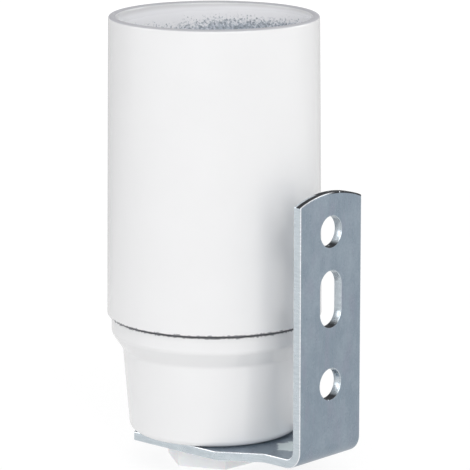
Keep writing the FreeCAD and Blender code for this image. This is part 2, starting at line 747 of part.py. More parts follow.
def make_thread_shell():
    """Turn the cup's thin section and pierce its floor for the rivets."""
    body = new_body("thread_shell")
    inner_mean = size.socket_minor_radius + size.socket_depth / 2
    outer_mean = inner_mean + size.shell_sheet
    thread_foot = shell_floor + size.socket_foot
    add_turned(body, "wall", [
        (size.shell_eye_radius, boss_top),
        (shell_outer_radius, boss_top),
        (shell_outer_radius, thread_foot - size.socket_depth / 2),
        *wave(outer_mean, thread_foot, upward=True),
        (shell_outer_radius, shell_top - size.socket_lip + size.socket_depth / 2),
        (shell_outer_radius, shell_top),
        (shell_major_radius, shell_top),
        (shell_major_radius, shell_top - size.socket_lip + size.socket_depth / 2),
        *wave(inner_mean, thread_foot, upward=False),
        (shell_major_radius, thread_foot - size.socket_depth / 2),
        (shell_major_radius, shell_floor),
        (size.shell_eye_radius, shell_floor),
    ])
    holes = new_sketch(body, "rivet_holes", "XY_Plane", boss_top)
    hole_radius = size.rivet_radius + size.rivet_gap
    draw_circle(holes, (-size.rivet_circle_radius, ZERO), hole_radius)
    draw_circle(holes, (ZERO, size.rivet_circle_radius), hole_radius)
    add_pocket(body, "rivet_drill", holes, size.shell_sheet, reverse=True)
    return body


# Insulating ring: moulded cup that closes the space between the thread shell and the sleeve

def make_insulating_ring():
    """Turn the ring with its outer wall, its upper face and its inner collar."""
    body = new_body("insulating_ring")
    outer = sleeve_bore_radius - size.ring_gap
    inner = outer - size.ring_wall
    collar_inside = shell_outer_radius + size.ring_shell_gap
    collar_outside = collar_inside + size.ring_wall
    mouth = shell_major_radius - size.ring_lip
    web = ring_top - size.ring_top_thickness
    add_turned(body, "wall", [
        (inner, flange_top),
        (flange_radius, flange_top),
        (flange_radius, ledge),
        (outer, ledge),
        (outer, ring_top),
        (mouth, ring_top),
        (mouth, web),
        (collar_inside, web),
        (collar_inside, ring_top - size.ring_collar_height),
        (collar_outside, ring_top - size.ring_collar_height),
        (collar_outside, web),
        (inner, web),
    ])
    round_ring(body, "outer_edge", outer, ring_top, size.rim_rounding)
    round_ring(body, "mouth_edge", mouth, ring_top, size.rim_rounding)
    return body


# Centre contact: folded spring strip with a button on its upper leg

def make_centre_contact():
    """Fold the strip and pierce its two legs."""
    body = new_body("centre_contact")
    low = boss_top
    lower_face = strip_top - size.strip_thickness
    section = new_sketch(body, "section", "XZ_Plane")
    draw_outline(section, [
        (size.strip_tail, low),
        (size.strip_tail, low + size.strip_thickness),
        (-size.strip_bend_reach, low + size.strip_thickness, HALF_TURN, False),
        (-size.strip_bend_reach, lower_face),
        (size.strip_tip, lower_face),
        (size.strip_tip, strip_top),
        (-size.strip_bend_reach, strip_top, HALF_TURN, True),
        (-size.strip_bend_reach, low),
    ])
    add_pad(body, "strip", section, size.strip_width, symmetric=True)
    lower_hole = new_sketch(body, "rivet_hole", "XY_Plane", low)
    draw_circle(lower_hole, (ZERO, ZERO), size.rivet_radius + size.rivet_gap)
    add_pocket(body, "rivet_drill", lower_hole, size.strip_thickness, reverse=True)
    upper_hole = new_sketch(body, "stem_hole", "XY_Plane", lower_face)
    draw_circle(upper_hole, (ZERO, ZERO), size.button_stem_radius + size.stem_gap)
    add_pocket(body, "stem_drill", upper_hole, size.strip_thickness, reverse=True)
    return body


def make_contact_button():
    """Turn the button and its stem."""
    body = new_body("contact_button")
    top = strip_top + size.button_height
    stem_end = strip_top - size.strip_thickness - size.button_stem_drop
    add_turned(body, "button", [
        (ZERO, stem_end),
        (size.button_stem_radius, stem_end),
        (size.button_stem_radius, strip_top),
        (size.button_radius, strip_top),
        (size.button_radius, top),
        (ZERO, top),
    ])
    round_ring(body, "button_edge", size.button_radius, top, size.button_rounding)
    return body


# Rivets: they hold the contact parts to the insert body

def make_rivet(label, place, low, high, feet_head):
    """Make a rivet between two levels, with a head above, and one below if it has one."""
    shank = named_cylinder(f"{label}_shank", size.rivet_radius, high - low, (*place, low))
    head = named_cylinder(f"{label}_head", size.rivet_head_radius, size.rivet_head_height, (*place, high))
    solid = boolean("Part::Fuse", f"{label}_upper", shank, head)
    if feet_head:
        foot_level = low - size.rivet_head_height
        foot = named_cylinder(
            f"{label}_foot", size.rivet_head_radius, size.rivet_head_height, (*place, foot_level)
        )
        solid = boolean("Part::Fuse", f"{label}_whole", solid, foot)
    solid.Label = label
    return solid


def make_rivets():
    """Make the centre rivet, the neutral rivet and the free rivet."""
    tongue_bottom = pocket_roof - size.tongue_thickness
    centre = make_rivet(
        "rivet_centre", (ZERO, ZERO), tongue_bottom, boss_top + size.strip_thickness, True
    )
    neutral_end = pocket_roof - size.wire_hole_roof + size.rivet_gap
    neutral = make_rivet(
        "rivet_neutral", (-size.rivet_circle_radius, ZERO), neutral_end, shell_floor, False
    )
    free = make_rivet(
        "rivet_shell", (ZERO, size.rivet_circle_radius), pocket_roof, shell_floor, True
    )
    return [centre, neutral, free]


# Terminals: brass blocks with a wire hole from below and a clamping screw from the side

terminal_bottom = pocket_roof - size.terminal_height
screw_level = terminal_bottom + (size.terminal_height - size.wire_hole_roof) / 2


def make_terminal(label, side):
    """Make one terminal on the +X side (1) or the -X side (-1)."""
    body = new_body(label)
    half = size.terminal_width / 2
    middle = size.rivet_circle_radius * side
    near = terminal_inside * side
    far = terminal_outside * side
    low_x, high_x = (near, far) if side > 0 else (far, near)
    outline = new_sketch(body, "block_outline", "XY_Plane", terminal_bottom)
    draw_outline(outline, box_corners(low_x, high_x, -half, half))
    add_pad(body, "block", outline, size.terminal_height)
    if side > 0:
        tongue_half = size.tongue_width / 2
        strap = new_sketch(body, "tongue_outline", "XY_Plane", pocket_roof - size.tongue_thickness)
        draw_outline(strap, box_corners(-size.tongue_overhang, middle, -tongue_half, tongue_half))
        add_pad(body, "tongue", strap, size.tongue_thickness)
    drill_reach = ZERO if side > 0 else middle
    rivet_hole = new_sketch(body, "rivet_hole", "XY_Plane", pocket_roof - size.wire_hole_roof)
    draw_circle(rivet_hole, (drill_reach, ZERO), size.rivet_radius + size.rivet_gap)
    add_pocket(body, "rivet_drill", rivet_hole, size.wire_hole_roof, reverse=True)
    wire = new_sketch(body, "wire_hole", "XY_Plane", terminal_bottom)
    draw_circle(wire, (middle, ZERO), size.wire_hole_radius)
    add_pocket(body, "wire_drill", wire, size.terminal_height - size.wire_hole_roof, reverse=True)
    tap = new_sketch(body, "screw_hole", "YZ_Plane")
    draw_circle(tap, (ZERO, screw_level), size.screw_radius + size.screw_gap)
    tap.setExpression("AttachmentOffset.Base.z", middle.formula)
    add_pocket(body, "screw_tap", tap, size.terminal_half_length, reverse=side > 0)
    return body


# Screws: slotted cheese-head screws

def make_screw(label, length, place, rotation):
    """Make a screw whose head's seat is at a place, pointing its head along the rotated +Z."""
    shank = named_cylinder(f"{label}_shank", size.screw_radius, length, (ZERO, ZERO, -length))
    head = named_cylinder(f"{label}_head", size.head_radius, size.head_height, (ZERO, ZERO, ZERO))
    doc.recompute()
    upper = []
    for number, edge in enumerate(head.Shape.Edges, start=1):
        if edge.BoundBox.ZMin > size.head_height.value - EDGE_TOLERANCE:
            upper.append((number, size.head_rounding.value, size.head_rounding.value))
    soft_head = doc.addObject("Part::Fillet", f"{label}_soft_head")
    soft_head.Base = head
    soft_head.Edges = upper
    solid = boolean("Part::Fuse", f"{label}_solid", shank, soft_head)
    slot = doc.addObject("Part::Box", f"{label}_slot")
    bind(slot, "Length", size.head_radius * 2 * OVERRUN)
    bind(slot, "Width", size.driver_slot_width)
    bind(slot, "Height", size.driver_slot_depth * 2)
    slot_low = size.head_height - size.driver_slot_depth
    place_object(slot, (-(size.head_radius * OVERRUN), -(size.driver_slot_width / 2), slot_low))
    screw = boolean("Part::Cut", label, solid, slot)
    screw.Label = label
    place_object(screw, place, rotation)
    return screw


def make_screws():
    """Make the two terminal screws and the earth screw."""
    live = make_screw(
        "screw_live", size.screw_length, (terminal_outside, ZERO, screw_level), TURN_TO_X
    )
    neutral = make_screw(
        "screw_neutral", size.screw_length, (-terminal_outside, ZERO, screw_level), TURN_TO_MINUS_X
    )
    seat = cap_floor + size.lug_height
    earth = make_screw(
        "screw_earth", size.earth_screw_length, (ZERO, earth_screw_reach, seat), Rotation()
    )
    return [live, neutral, earth]


def check_and_export(nodes):
    """Check every object of the document and every sub-part, then write one file for each."""
    doc.recompute()
    for item in doc.Objects:
        if "Invalid" in item.State or "Error" in item.State:
            raise RuntimeError(f"{item.Name} is {item.State}")
    for node in nodes:
        shape = node.Shape
        if shape.isNull() or not shape.isValid() or len(shape.Solids) != 1:
            raise RuntimeError(f"{node.Label} is not one valid solid")
    os.makedirs(PARTS_FOLDER, exist_ok=True)
    for node in nodes:
        node.Shape.exportStep(os.path.join(PARTS_FOLDER, f"{node.Label}.step"))
        box = node.Shape.BoundBox
        print(f"{node.Label}: {node.Shape.Volume:.1f} mm3, z {box.ZMin:.2f} to {box.ZMax:.2f}")


check_and_export([
    make_bracket(),
    make_nipple(),
    make_cap(),
    make_hub(),
    make_sleeve(),
    make_insert_body(),
    make_thread_shell(),
    make_insulating_ring(),
    make_centre_contact(),
    make_contact_button(),
    *make_rivets(),
    make_terminal("terminal_live", 1),
    make_terminal("terminal_neutral", -1),
    *make_screws(),
])
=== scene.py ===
"""Small screw-cap lamp holder on a bent wall bracket, dressed for a plain studio picture.

The pieces are made as the real ones are. A folded steel strip carries a hollow nipple, the nipple
clamps a drawn cap to the strip, and a drawn sleeve screws over the cap and keeps the insert with
its brass lamp thread in place. Sizes are in millimetres from the centre of the cable bore's lower
mouth, with +Z up the holder and +X towards the wall.
"""

import logging
import math
from collections.abc import Callable, Sequence
from dataclasses import dataclass
from enum import Enum
from functools import lru_cache

import bmesh
import bpy
from mathutils import Euler, Matrix, Vector


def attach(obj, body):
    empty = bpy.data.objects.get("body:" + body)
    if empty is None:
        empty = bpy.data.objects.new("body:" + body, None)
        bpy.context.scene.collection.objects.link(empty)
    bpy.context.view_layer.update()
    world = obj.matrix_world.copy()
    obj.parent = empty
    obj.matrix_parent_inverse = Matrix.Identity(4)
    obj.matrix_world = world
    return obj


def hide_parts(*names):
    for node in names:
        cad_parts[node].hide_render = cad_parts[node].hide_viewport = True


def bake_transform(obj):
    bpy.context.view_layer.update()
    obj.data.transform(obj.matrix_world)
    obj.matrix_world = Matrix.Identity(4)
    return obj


MM = 0.001
FINE = 128
LOG = logging.getLogger("lamp_holder")
Colour = tuple[float, float, float]
Spot = tuple[float, float, float]

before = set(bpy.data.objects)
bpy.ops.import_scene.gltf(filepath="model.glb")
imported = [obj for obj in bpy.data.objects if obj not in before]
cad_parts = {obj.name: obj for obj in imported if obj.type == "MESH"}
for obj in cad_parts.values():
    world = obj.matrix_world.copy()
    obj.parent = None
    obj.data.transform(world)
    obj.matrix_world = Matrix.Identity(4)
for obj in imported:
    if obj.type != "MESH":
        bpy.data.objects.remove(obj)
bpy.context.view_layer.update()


# Bench: the modelling moves that every piece shares


class Kind(Enum):
    """Sort of mesh element that a selection picks."""

    VERT = "VERT"
    EDGE = "EDGE"
    FACE = "FACE"


class Join(Enum):
    """How a second solid acts on the first."""

    CUT = "DIFFERENCE"
    ADD = "UNION"


class Plane(Enum):
    """Plane that a section is drawn on: the axes of its two coordinates and of its level."""

    FRONT = (0, 2, 1)
    TOP = (0, 1, 2)
    SIDE = (1, 2, 0)

    def spot(self, across: float, up: float, level: float) -> Vector:
        """Place a point of the section.

        Args:
            across: first coordinate in mm.
            up: second coordinate in mm.
            level: distance of the plane from the origin in mm.

        Returns:
            The point in metres.
        """
        place = Vector((0.0, 0.0, 0.0))
        for axis, value in zip(self.value, (across, up, level)):
            place[axis] = value * MM
        return place

    @property
    def turning_axis(self) -> Vector:
        """Axis about which a turn runs from the first coordinate to the second."""
        return {"FRONT": Vector((0, -1, 0)), "TOP": Vector((0, 0, 1)), "SIDE": Vector((1, 0, 0))}[self.name]


@dataclass(frozen=True)
class Corner:
    """Corner of a section in mm, with the radius that rounds it."""

    across: float
    up: float
    rounding: float = 0.0


@dataclass(frozen=True)
class Sweep:
    """Arc of a section about a centre in mm, counter-clockwise by an angle in degrees."""

    across: float
    up: float
    angle: float
    steps: int = 16


Path2D = Sequence[Corner | Sweep]


class Workpiece:
    """A mesh on the bench that is shaped with edit-mode moves and modifiers."""

    def __init__(self, name: str) -> None:
        """Take the primitive that was just added, at its place.

        Args:
            name: name of the piece.
        """
        self.name = name
        self.obj = bpy.context.object
        self.obj.name = f"{name}_piece"
        bpy.ops.object.transform_apply(location=True, rotation=True, scale=True)

    @staticmethod
    def clear_bench() -> None:
        """Leave edit mode and deselect everything."""
        if bpy.context.object and bpy.context.object.mode != "OBJECT":
            bpy.ops.object.mode_set(mode="OBJECT")
        bpy.ops.object.select_all(action="DESELECT")

    @classmethod
    def drawn(
        cls, name: str, path: Path2D, plane: Plane = Plane.FRONT, level: float = 0.0, closed: bool = True
    ) -> "Workpiece":
        """Draw a section corner by corner from one point.

        Args:
            name: name of the piece.
            path: corners and arcs, of which the first is a corner.
            plane: plane of the section.
            level: distance of the plane from the origin in mm.
            closed: whether the last point joins the first.

        Returns:
            The section, a wire of edges.
        """
        cls.clear_bench()
        bpy.ops.mesh.primitive_plane_add(size=MM)
        piece = cls(name)
        piece.edit()
        bpy.ops.mesh.merge(type="CENTER")
        start = here = plane.spot(path[0].across, path[0].up, level)
        bpy.ops.transform.translate(value=here)
        axis = plane.turning_axis
        for step in path[1:]:
            spot = plane.spot(step.across, step.up, level)
            if isinstance(step, Sweep):
                angle = math.radians(step.angle)
                bpy.ops.mesh.spin(steps=step.steps, angle=-angle, center=spot, axis=axis)
                here = spot + Matrix.Rotation(angle, 3, axis) @ (here - spot)
            else:
                bpy.ops.mesh.extrude_region_move(TRANSFORM_OT_translate={"value": spot - here})
                here = spot
        if closed:
            piece.pick(Kind.VERT, lambda v: min((v - start).length, (v - here).length) < 1e-6)
            bpy.ops.mesh.edge_face_add()
        piece.round_corners(path, plane, level)
        return piece

    @classmethod
    def rod(cls, name: str, radius: float, start: Spot, end: Spot, sides: int = 64) -> "Workpiece":
        """Add a plain rod between two points, as a tool or a start.

        Args:
            name: name of the piece.
            radius: radius in mm.
            start: centre of one end in mm.
            end: centre of the other end in mm.
            sides: number of sides.

        Returns:
            The rod.
        """
        cls.clear_bench()
        low, high = Vector(start) * MM, Vector(end) * MM
        along = high - low
        bpy.ops.mesh.primitive_cylinder_add(
            vertices=sides,
            radius=radius * MM,
            depth=along.length,
            location=(low + high) / 2,
            rotation=along.to_track_quat("Z", "Y").to_euler(),
        )
        return cls(name)

    @classmethod
    def block(cls, name: str, low: Spot, high: Spot) -> "Workpiece":
        """Add a plain block between two corners, as a tool or a start.

        Args:
            name: name of the piece.
            low: lowest corner in mm.
            high: highest corner in mm.

        Returns:
            The block.
        """
        cls.clear_bench()
        near, far = Vector(low) * MM, Vector(high) * MM
        bpy.ops.mesh.primitive_cube_add(size=1.0, location=(near + far) / 2, scale=far - near)
        return cls(name)

    def focus(self) -> None:
        """Make this piece the only selected one, in object mode."""
        self.clear_bench()
        bpy.context.view_layer.objects.active = self.obj
        self.obj.select_set(True)

    def edit(self) -> None:
        """Open the piece in edit mode, with all of it selected by its points."""
        if self.obj.mode != "EDIT":
            self.focus()
            bpy.ops.object.mode_set(mode="EDIT")
        bpy.ops.mesh.select_mode(type="VERT")
        bpy.ops.mesh.select_all(action="SELECT")

    def pick(self, kind: Kind, test: Callable[[Vector], bool], boundary: bool = False) -> int:
        """Select the elements whose corners all pass a test.

        Args:
            kind: sort of element.
            test: rule on a corner's place in metres.
            boundary: whether only open edges count.

        Returns:
            How many elements were selected.
        """
        self.edit()
        bpy.ops.mesh.select_mode(type=kind.value)
        bpy.ops.mesh.select_all(action="DESELECT")
        mesh = bmesh.from_edit_mesh(self.obj.data)
        group = {Kind.VERT: mesh.verts, Kind.EDGE: mesh.edges, Kind.FACE: mesh.faces}[kind]
        found = 0
        for element in group:
            corners = [element] if kind is Kind.VERT else element.verts
            if all(test(corner.co) for corner in corners) and (not boundary or element.is_boundary):
                element.select_set(True)
                found += 1
        bmesh.update_edit_mesh(self.obj.data)
        return found

    def round_corners(self, path: Path2D, plane: Plane, level: float) -> None:
        """Bevel each corner of a drawn section that has a rounding.

        Args:
            path: the section's path.
            plane: plane of the section.
            level: distance of the plane from the origin in mm.
        """
        for index, corner in enumerate(path):
            if isinstance(corner, Sweep) or not corner.rounding:
                continue
            before, after = path[index - 1], path[(index + 1) % len(path)]
            spot = Vector((corner.across, corner.up))
            arrive = (spot - Vector((before.across, before.up))).normalized()
            leave = (Vector((after.across, after.up)) - spot).normalized()
            turn = arrive.angle(leave)
            place = plane.spot(corner.across, corner.up, level)
            self.pick(Kind.VERT, lambda v: (v - place).length < 1e-6)
            offset = corner.rounding * math.tan(turn / 2) * MM
            segments = max(2, round(math.degrees(turn) / 11))
            bpy.ops.mesh.bevel(offset=offset, segments=segments, affect="VERTICES", clamp_overlap=False)

    def weld(self) -> "Workpiece":
        """Merge the doubles and turn every face outwards.

        Returns:
            This piece.
        """
        self.edit()
        bpy.ops.mesh.remove_doubles(threshold=2e-7)
        bpy.ops.mesh.normals_make_consistent(inside=False)
        return self

    def turn(self, steps: int = 96) -> "Workpiece":
        """Spin the section round the holder's axis.

        Args:
            steps: number of steps round.

        Returns:
            This piece.
        """
        self.edit()
        bpy.ops.mesh.spin(steps=steps, angle=2 * math.pi, center=(0, 0, 0), axis=(0, 0, 1))
        return self.weld()

    def extrude(self, plane: Plane, depth: float) -> "Workpiece":
        """Fill the closed section and extrude it square to its plane.

        Args:
            plane: plane of the section.
            depth: how far to extrude in mm.

        Returns:
            This piece.
        """
        self.edit()
        bpy.ops.mesh.edge_face_add()
        way = plane.spot(0, 0, depth)
        bpy.ops.mesh.extrude_region_move(TRANSFORM_OT_translate={"value": way})
        return self.weld()

    def trim(self, low: float, high: float) -> "Workpiece":
        """Cut everything off below one level and above another.

        Args:
            low: the lower level in mm.
            high: the upper level in mm.

        Returns:
            This piece.
        """
        self.edit()
        for level, above in ((low, False), (high, True)):
            bpy.ops.mesh.select_all(action="SELECT")
            bpy.ops.mesh.bisect(
                plane_co=(0, 0, level * MM),
                plane_no=(0, 0, 1),
                clear_inner=not above,
                clear_outer=above,
                threshold=1e-7,
            )
        return self

    def bridge(self, *levels: float) -> "Workpiece":
        """Bridge the open edges that lie at the given levels.

        Args:
            *levels: the levels in mm.

        Returns:
            This piece.
        """
        self.pick(
            Kind.EDGE, lambda v: any(abs(v.z - level * MM) < 2e-7 for level in levels), boundary=True
        )
        bpy.ops.mesh.bridge_edge_loops()
        return self

    def modify(self, kind: str, **settings: object) -> "Workpiece":
        """Add one modifier and apply it.

        Args:
            kind: type of the modifier.
            **settings: its settings.

        Returns:
            This piece.
        """
        self.focus()
        bpy.ops.object.modifier_add(type=kind)
        modifier = self.obj.modifiers[-1]
        for name, value in settings.items():
            setattr(modifier, name, value)
        bpy.ops.object.modifier_apply(modifier=modifier.name)
        return self

    def shape_with(self, how: Join, *tools: "Workpiece") -> "Workpiece":
        """Cut with other solids or add them, which uses them up.

        Args:
            how: what the tools do.
            *tools: the other solids.

        Returns:
            This piece.
        """
        for tool in tools:
            self.modify("BOOLEAN", object=tool.obj, operation=how.value, solver="EXACT")
            bpy.data.objects.remove(tool.obj, do_unlink=True)
        return self

    def take_in(self, *others: "Workpiece") -> "Workpiece":
        """Join other meshes into this one.

        Args:
            *others: the other meshes.

        Returns:
            This piece.
        """
        self.focus()
        for other in others:
            other.obj.select_set(True)
        bpy.ops.object.join()
        return self

    def copy(self, name: str) -> "Workpiece":
        """Duplicate the piece with a mesh of its own.

        Args:
            name: name of the copy.

        Returns:
            The copy.
        """
        self.focus()
        bpy.ops.object.duplicate(linked=False)
        return Workpiece(name)

    def place(self, turned: Spot, at: Spot) -> "Workpiece":
        """Turn and move the piece, and fix that in its mesh.

        Args:
            turned: its turn about each axis in degrees.
            at: where its origin goes in mm.

        Returns:
            This piece.
        """
        self.focus()
        self.obj.rotation_euler = Euler([math.radians(angle) for angle in turned])
        self.obj.location = Vector(at) * MM
        bpy.ops.object.transform_apply(location=True, rotation=True, scale=True)
        return self

    def soften(self, width: float, segments: int = 2, angle: float = 40.0) -> "Workpiece":
        """Bevel every edge that turns by more than an angle.

        Args:
            width: width of the bevel in mm.
            segments: its segments.
            angle: smallest turn in degrees.

        Returns:
            This piece.
        """
        return self.modify(
            "BEVEL",
            width=width * MM,
            segments=segments,
            limit_method="ANGLE",
            angle_limit=math.radians(angle),
            use_clamp_overlap=True,
        )

    def polish(self, angle: float = 35.0) -> "Workpiece":
        """Smooth the shading, with the large faces kept flat.

        Args:
            angle: largest turn in degrees that is smoothed.

        Returns:
            This piece.
        """
        self.focus()
        bpy.ops.object.shade_smooth_by_angle(angle=math.radians(angle))
        return self.modify("WEIGHTED_NORMAL", keep_sharp=True, weight=100)

    def mark(self, name: str, rule: Callable[[Vector], float]) -> "Workpiece":
        """Store a number per point that a finish reads.

        Args:
            name: name of the attribute.
            rule: the number for a place in mm.

        Returns:
            This piece.
        """
        self.focus()
        layer = self.obj.data.attributes.new(name, "FLOAT", "POINT")
        for point, cell in zip(self.obj.data.vertices, layer.data):
            cell.value = rule(point.co / MM)
        return self


class ThreadForm(Enum):
    """Section of one turn of a thread, as shares of its pitch and of its depth."""

    ROLLED = tuple((step / 12, 0.5 - 0.5 * math.cos(math.tau * step / 12)) for step in range(13))
    CUT = ((0.0, 0.0), (0.08, 0.0), (0.44, 1.0), (0.56, 1.0), (0.92, 0.0), (1.0, 0.0))


@dataclass(frozen=True)
class Thread:
    """Right-hand thread between two levels, from a root radius to a crest radius."""

    root: float
    crest: float
    pitch: float
    low: float
    high: float
    form: ThreadForm = ThreadForm.ROLLED
    steps: int = 96

    def wind(self, name: str) -> Workpiece:
        """Wind the thread's surface and trim its two ends level.

        Args:
            name: name of the piece.

        Returns:
            The open surface.
        """
        start = self.low - self.pitch * 1.5
        section = [
            Corner(self.root + (self.crest - self.root) * depth, start + self.pitch * share)
            for share, depth in self.form.value
        ]
        piece = Workpiece.drawn(name, section, closed=False)
        piece.modify(
            "SCREW",
            angle=math.tau,
            screw_offset=self.pitch * MM,
            iterations=math.ceil((self.high - start) / self.pitch) + 1,
            steps=self.steps,
            render_steps=self.steps,
        )
        piece.edit()
        bpy.ops.mesh.remove_doubles(threshold=2e-7)
        return piece.trim(self.low, self.high)

    def fit(self, piece: Workpiece, below: float, above: float) -> Workpiece:
        """Set the thread into the gap between a piece's two open rims.

        Args:
            piece: piece with the open rims.
            below: level of the rim under the thread in mm.
            above: level of the rim over it in mm.

        Returns:
            The piece, closed.
        """
        piece.take_in(self.wind("thread"))
        piece.bridge(below, self.low)
        piece.bridge(self.high, above)
        return piece.weld()


# Finishes


class Recipe:
    """Node tree of one finish, built round a surface shader."""

    def __init__(self, name: str) -> None:
        """Start a material with its shader and its object coordinates.

        Args:
            name: name of the material.
        """
        self.material = bpy.data.materials.new(name)
        self.material.use_nodes = True
        self.tree = self.material.node_tree
        self.shader = self.tree.nodes["Principled BSDF"]
        self.coords = self.tree.nodes.new("ShaderNodeTexCoord").outputs["Object"]

    def set(self, **values: float | Colour) -> None:
        """Set the shader's own sockets.

        Args:
            **values: the values, by the sockets' names with underscores.
        """
        for name, value in values.items():
            socket = self.shader.inputs[name.replace("_", " ")]
            socket.default_value = (*value, 1.0) if isinstance(value, tuple) and len(value) == 3 else value

    def feed(self, name: str, source: bpy.types.NodeSocket) -> None:
        """Lead a socket to one of the shader's inputs."""
        self.tree.links.new(source, self.shader.inputs[name])

    def node(self, kind: str, **settings: object) -> bpy.types.Node:
        """Add one node and set its properties.

        Args:
            kind: type of the node.
            **settings: its properties.

        Returns:
            The node.
        """
        node = self.tree.nodes.new(kind)
        for name, value in settings.items():
            setattr(node, name, value)
        return node

    def plug(self, node: bpy.types.Node, name: str | int, source: object) -> None:
        """Lead a socket, or write a value, to a node's input.

        Args:
            node: the node.
            name: name or number of its input.
            source: the socket or the value.
        """
        if isinstance(source, bpy.types.NodeSocket):
            self.tree.links.new(source, node.inputs[name])
        else:
            node.inputs[name].default_value = source

    def noise(
        self, size: float, detail: float = 2.0, stretch: Spot = (1, 1, 1), roughness: float = 0.5
    ) -> bpy.types.NodeSocket:
        """Add a noise on the object's coordinates.

        Args:
            size: size of its features in mm.
            detail: its octaves.
            stretch: how much longer its features are along each axis.
            roughness: weight of the fine octaves.

        Returns:
            The socket of its value, about 0.5 on average.
        """
        mapping = self.node("ShaderNodeMapping")
        self.plug(mapping, "Vector", self.coords)
        mapping.inputs["Scale"].default_value = [1.0 / share for share in stretch]
        noise = self.node("ShaderNodeTexNoise")
        self.plug(noise, "Vector", mapping.outputs["Vector"])
        self.plug(noise, "Scale", 1.0 / (size * MM))
        self.plug(noise, "Detail", detail)
        self.plug(noise, "Roughness", roughness)
        return noise.outputs["Fac"]

    def ramp(
        self, source: bpy.types.NodeSocket, low: float, high: float, start: float = 0.0, end: float = 1.0
    ) -> bpy.types.NodeSocket:
        """Turn a value that runs from low to high into one that runs from start to end.

        Args:
            source: socket of the value.
            low: where the change begins.
            high: where it ends.
            start: result up to the low end.
            end: result from the high end.

        Returns:
            The socket of the result.
        """
        ramp = self.node("ShaderNodeMapRange", interpolation_type="SMOOTHSTEP")
        names = ("Value", "From Min", "From Max", "To Min", "To Max")
        for name, value in zip(names, (source, low, high, start, end)):
            self.plug(ramp, name, value)
        return ramp.outputs["Result"]

    def math(self, how: str, first: object, second: object) -> bpy.types.NodeSocket:
        """Combine two values.

        Args:
            how: the operation.
            first: first socket or number.
            second: second socket or number.

        Returns:
            The socket of the result.
        """
        node = self.node("ShaderNodeMath", operation=how)
        self.plug(node, 0, first)
        self.plug(node, 1, second)
        return node.outputs["Value"]

    def blend(self, share: object, first: object, second: object) -> bpy.types.NodeSocket:
        """Mix two colours.

        Args:
            share: share of the second, as a socket or a number.
            first: socket or colour.
            second: socket or colour.

        Returns:
            The socket of the mixed colour.
        """
        node = self.node("ShaderNodeMix", data_type="RGBA")
        self.plug(node, 0, share)
        for place, colour in ((6, first), (7, second)):
            self.plug(node, place, (*colour, 1.0) if isinstance(colour, tuple) else colour)
        return node.outputs[2]

    def blend_value(self, share: object, first: object, second: object) -> bpy.types.NodeSocket:
        """Mix two numbers.

        Args:
            share: share of the second, as a socket or a number.
            first: socket or number.
            second: socket or number.

        Returns:
            The socket of the mixed number.
        """
        node = self.node("ShaderNodeMix", data_type="FLOAT")
        for place, value in ((0, share), (2, first), (3, second)):
            self.plug(node, place, value)
        return node.outputs[0]

    def height(self, axis: str = "Z") -> bpy.types.NodeSocket:
        """Give the object's coordinate along one axis.

        Args:
            axis: name of the axis.

        Returns:
            The socket of the coordinate in mm.
        """
        split = self.node("ShaderNodeSeparateXYZ")
        self.plug(split, 0, self.coords)
        return self.math("MULTIPLY", split.outputs[axis], 1.0 / MM)

    def distance(self, spot: Spot) -> bpy.types.NodeSocket:
        """Give the distance from a place.

        Args:
            spot: the place in mm.

        Returns:
            The socket of the distance in mm.
        """
        node = self.node("ShaderNodeVectorMath", operation="DISTANCE")
        self.plug(node, 0, self.coords)
        self.plug(node, 1, tuple(place * MM for place in spot))
        return self.math("MULTIPLY", node.outputs["Value"], 1.0 / MM)

    def bump(self, *layers: tuple[bpy.types.NodeSocket, float]) -> None:
        """Raise the surface by layers of height.

        Args:
            *layers: each a socket and the height in mm between its 0 and its 1.
        """
        total = None
        for source, rise in layers:
            part = self.math("MULTIPLY", source, rise)
            total = part if total is None else self.math("ADD", total, part)
        node = self.node("ShaderNodeBump")
        self.plug(node, "Height", total)
        self.plug(node, "Strength", 1.0)
        self.plug(node, "Distance", MM)
        self.feed("Normal", node.outputs["Normal"])


class WorldRecipe(Recipe):
    """Node tree of the surroundings, built round a background shader."""

    def __init__(self, name: str) -> None:
        """Start a world and put it in the scene.

        Args:
            name: name of the world.
        """
        world = bpy.data.worlds.new(name)
        bpy.context.scene.world = world
        world.use_nodes = True
        self.tree = world.node_tree
        self.shader = self.tree.nodes["Background"]


@dataclass(frozen=True)
class Finish:
    """Base of the finishes."""

    def mix(self) -> bpy.types.Material:
        """Build the finish's material."""
        raise NotImplementedError


@lru_cache(maxsize=None)
def mixed(finish: Finish) -> bpy.types.Material:
    """Give a finish's material, which is built once."""
    return finish.mix()


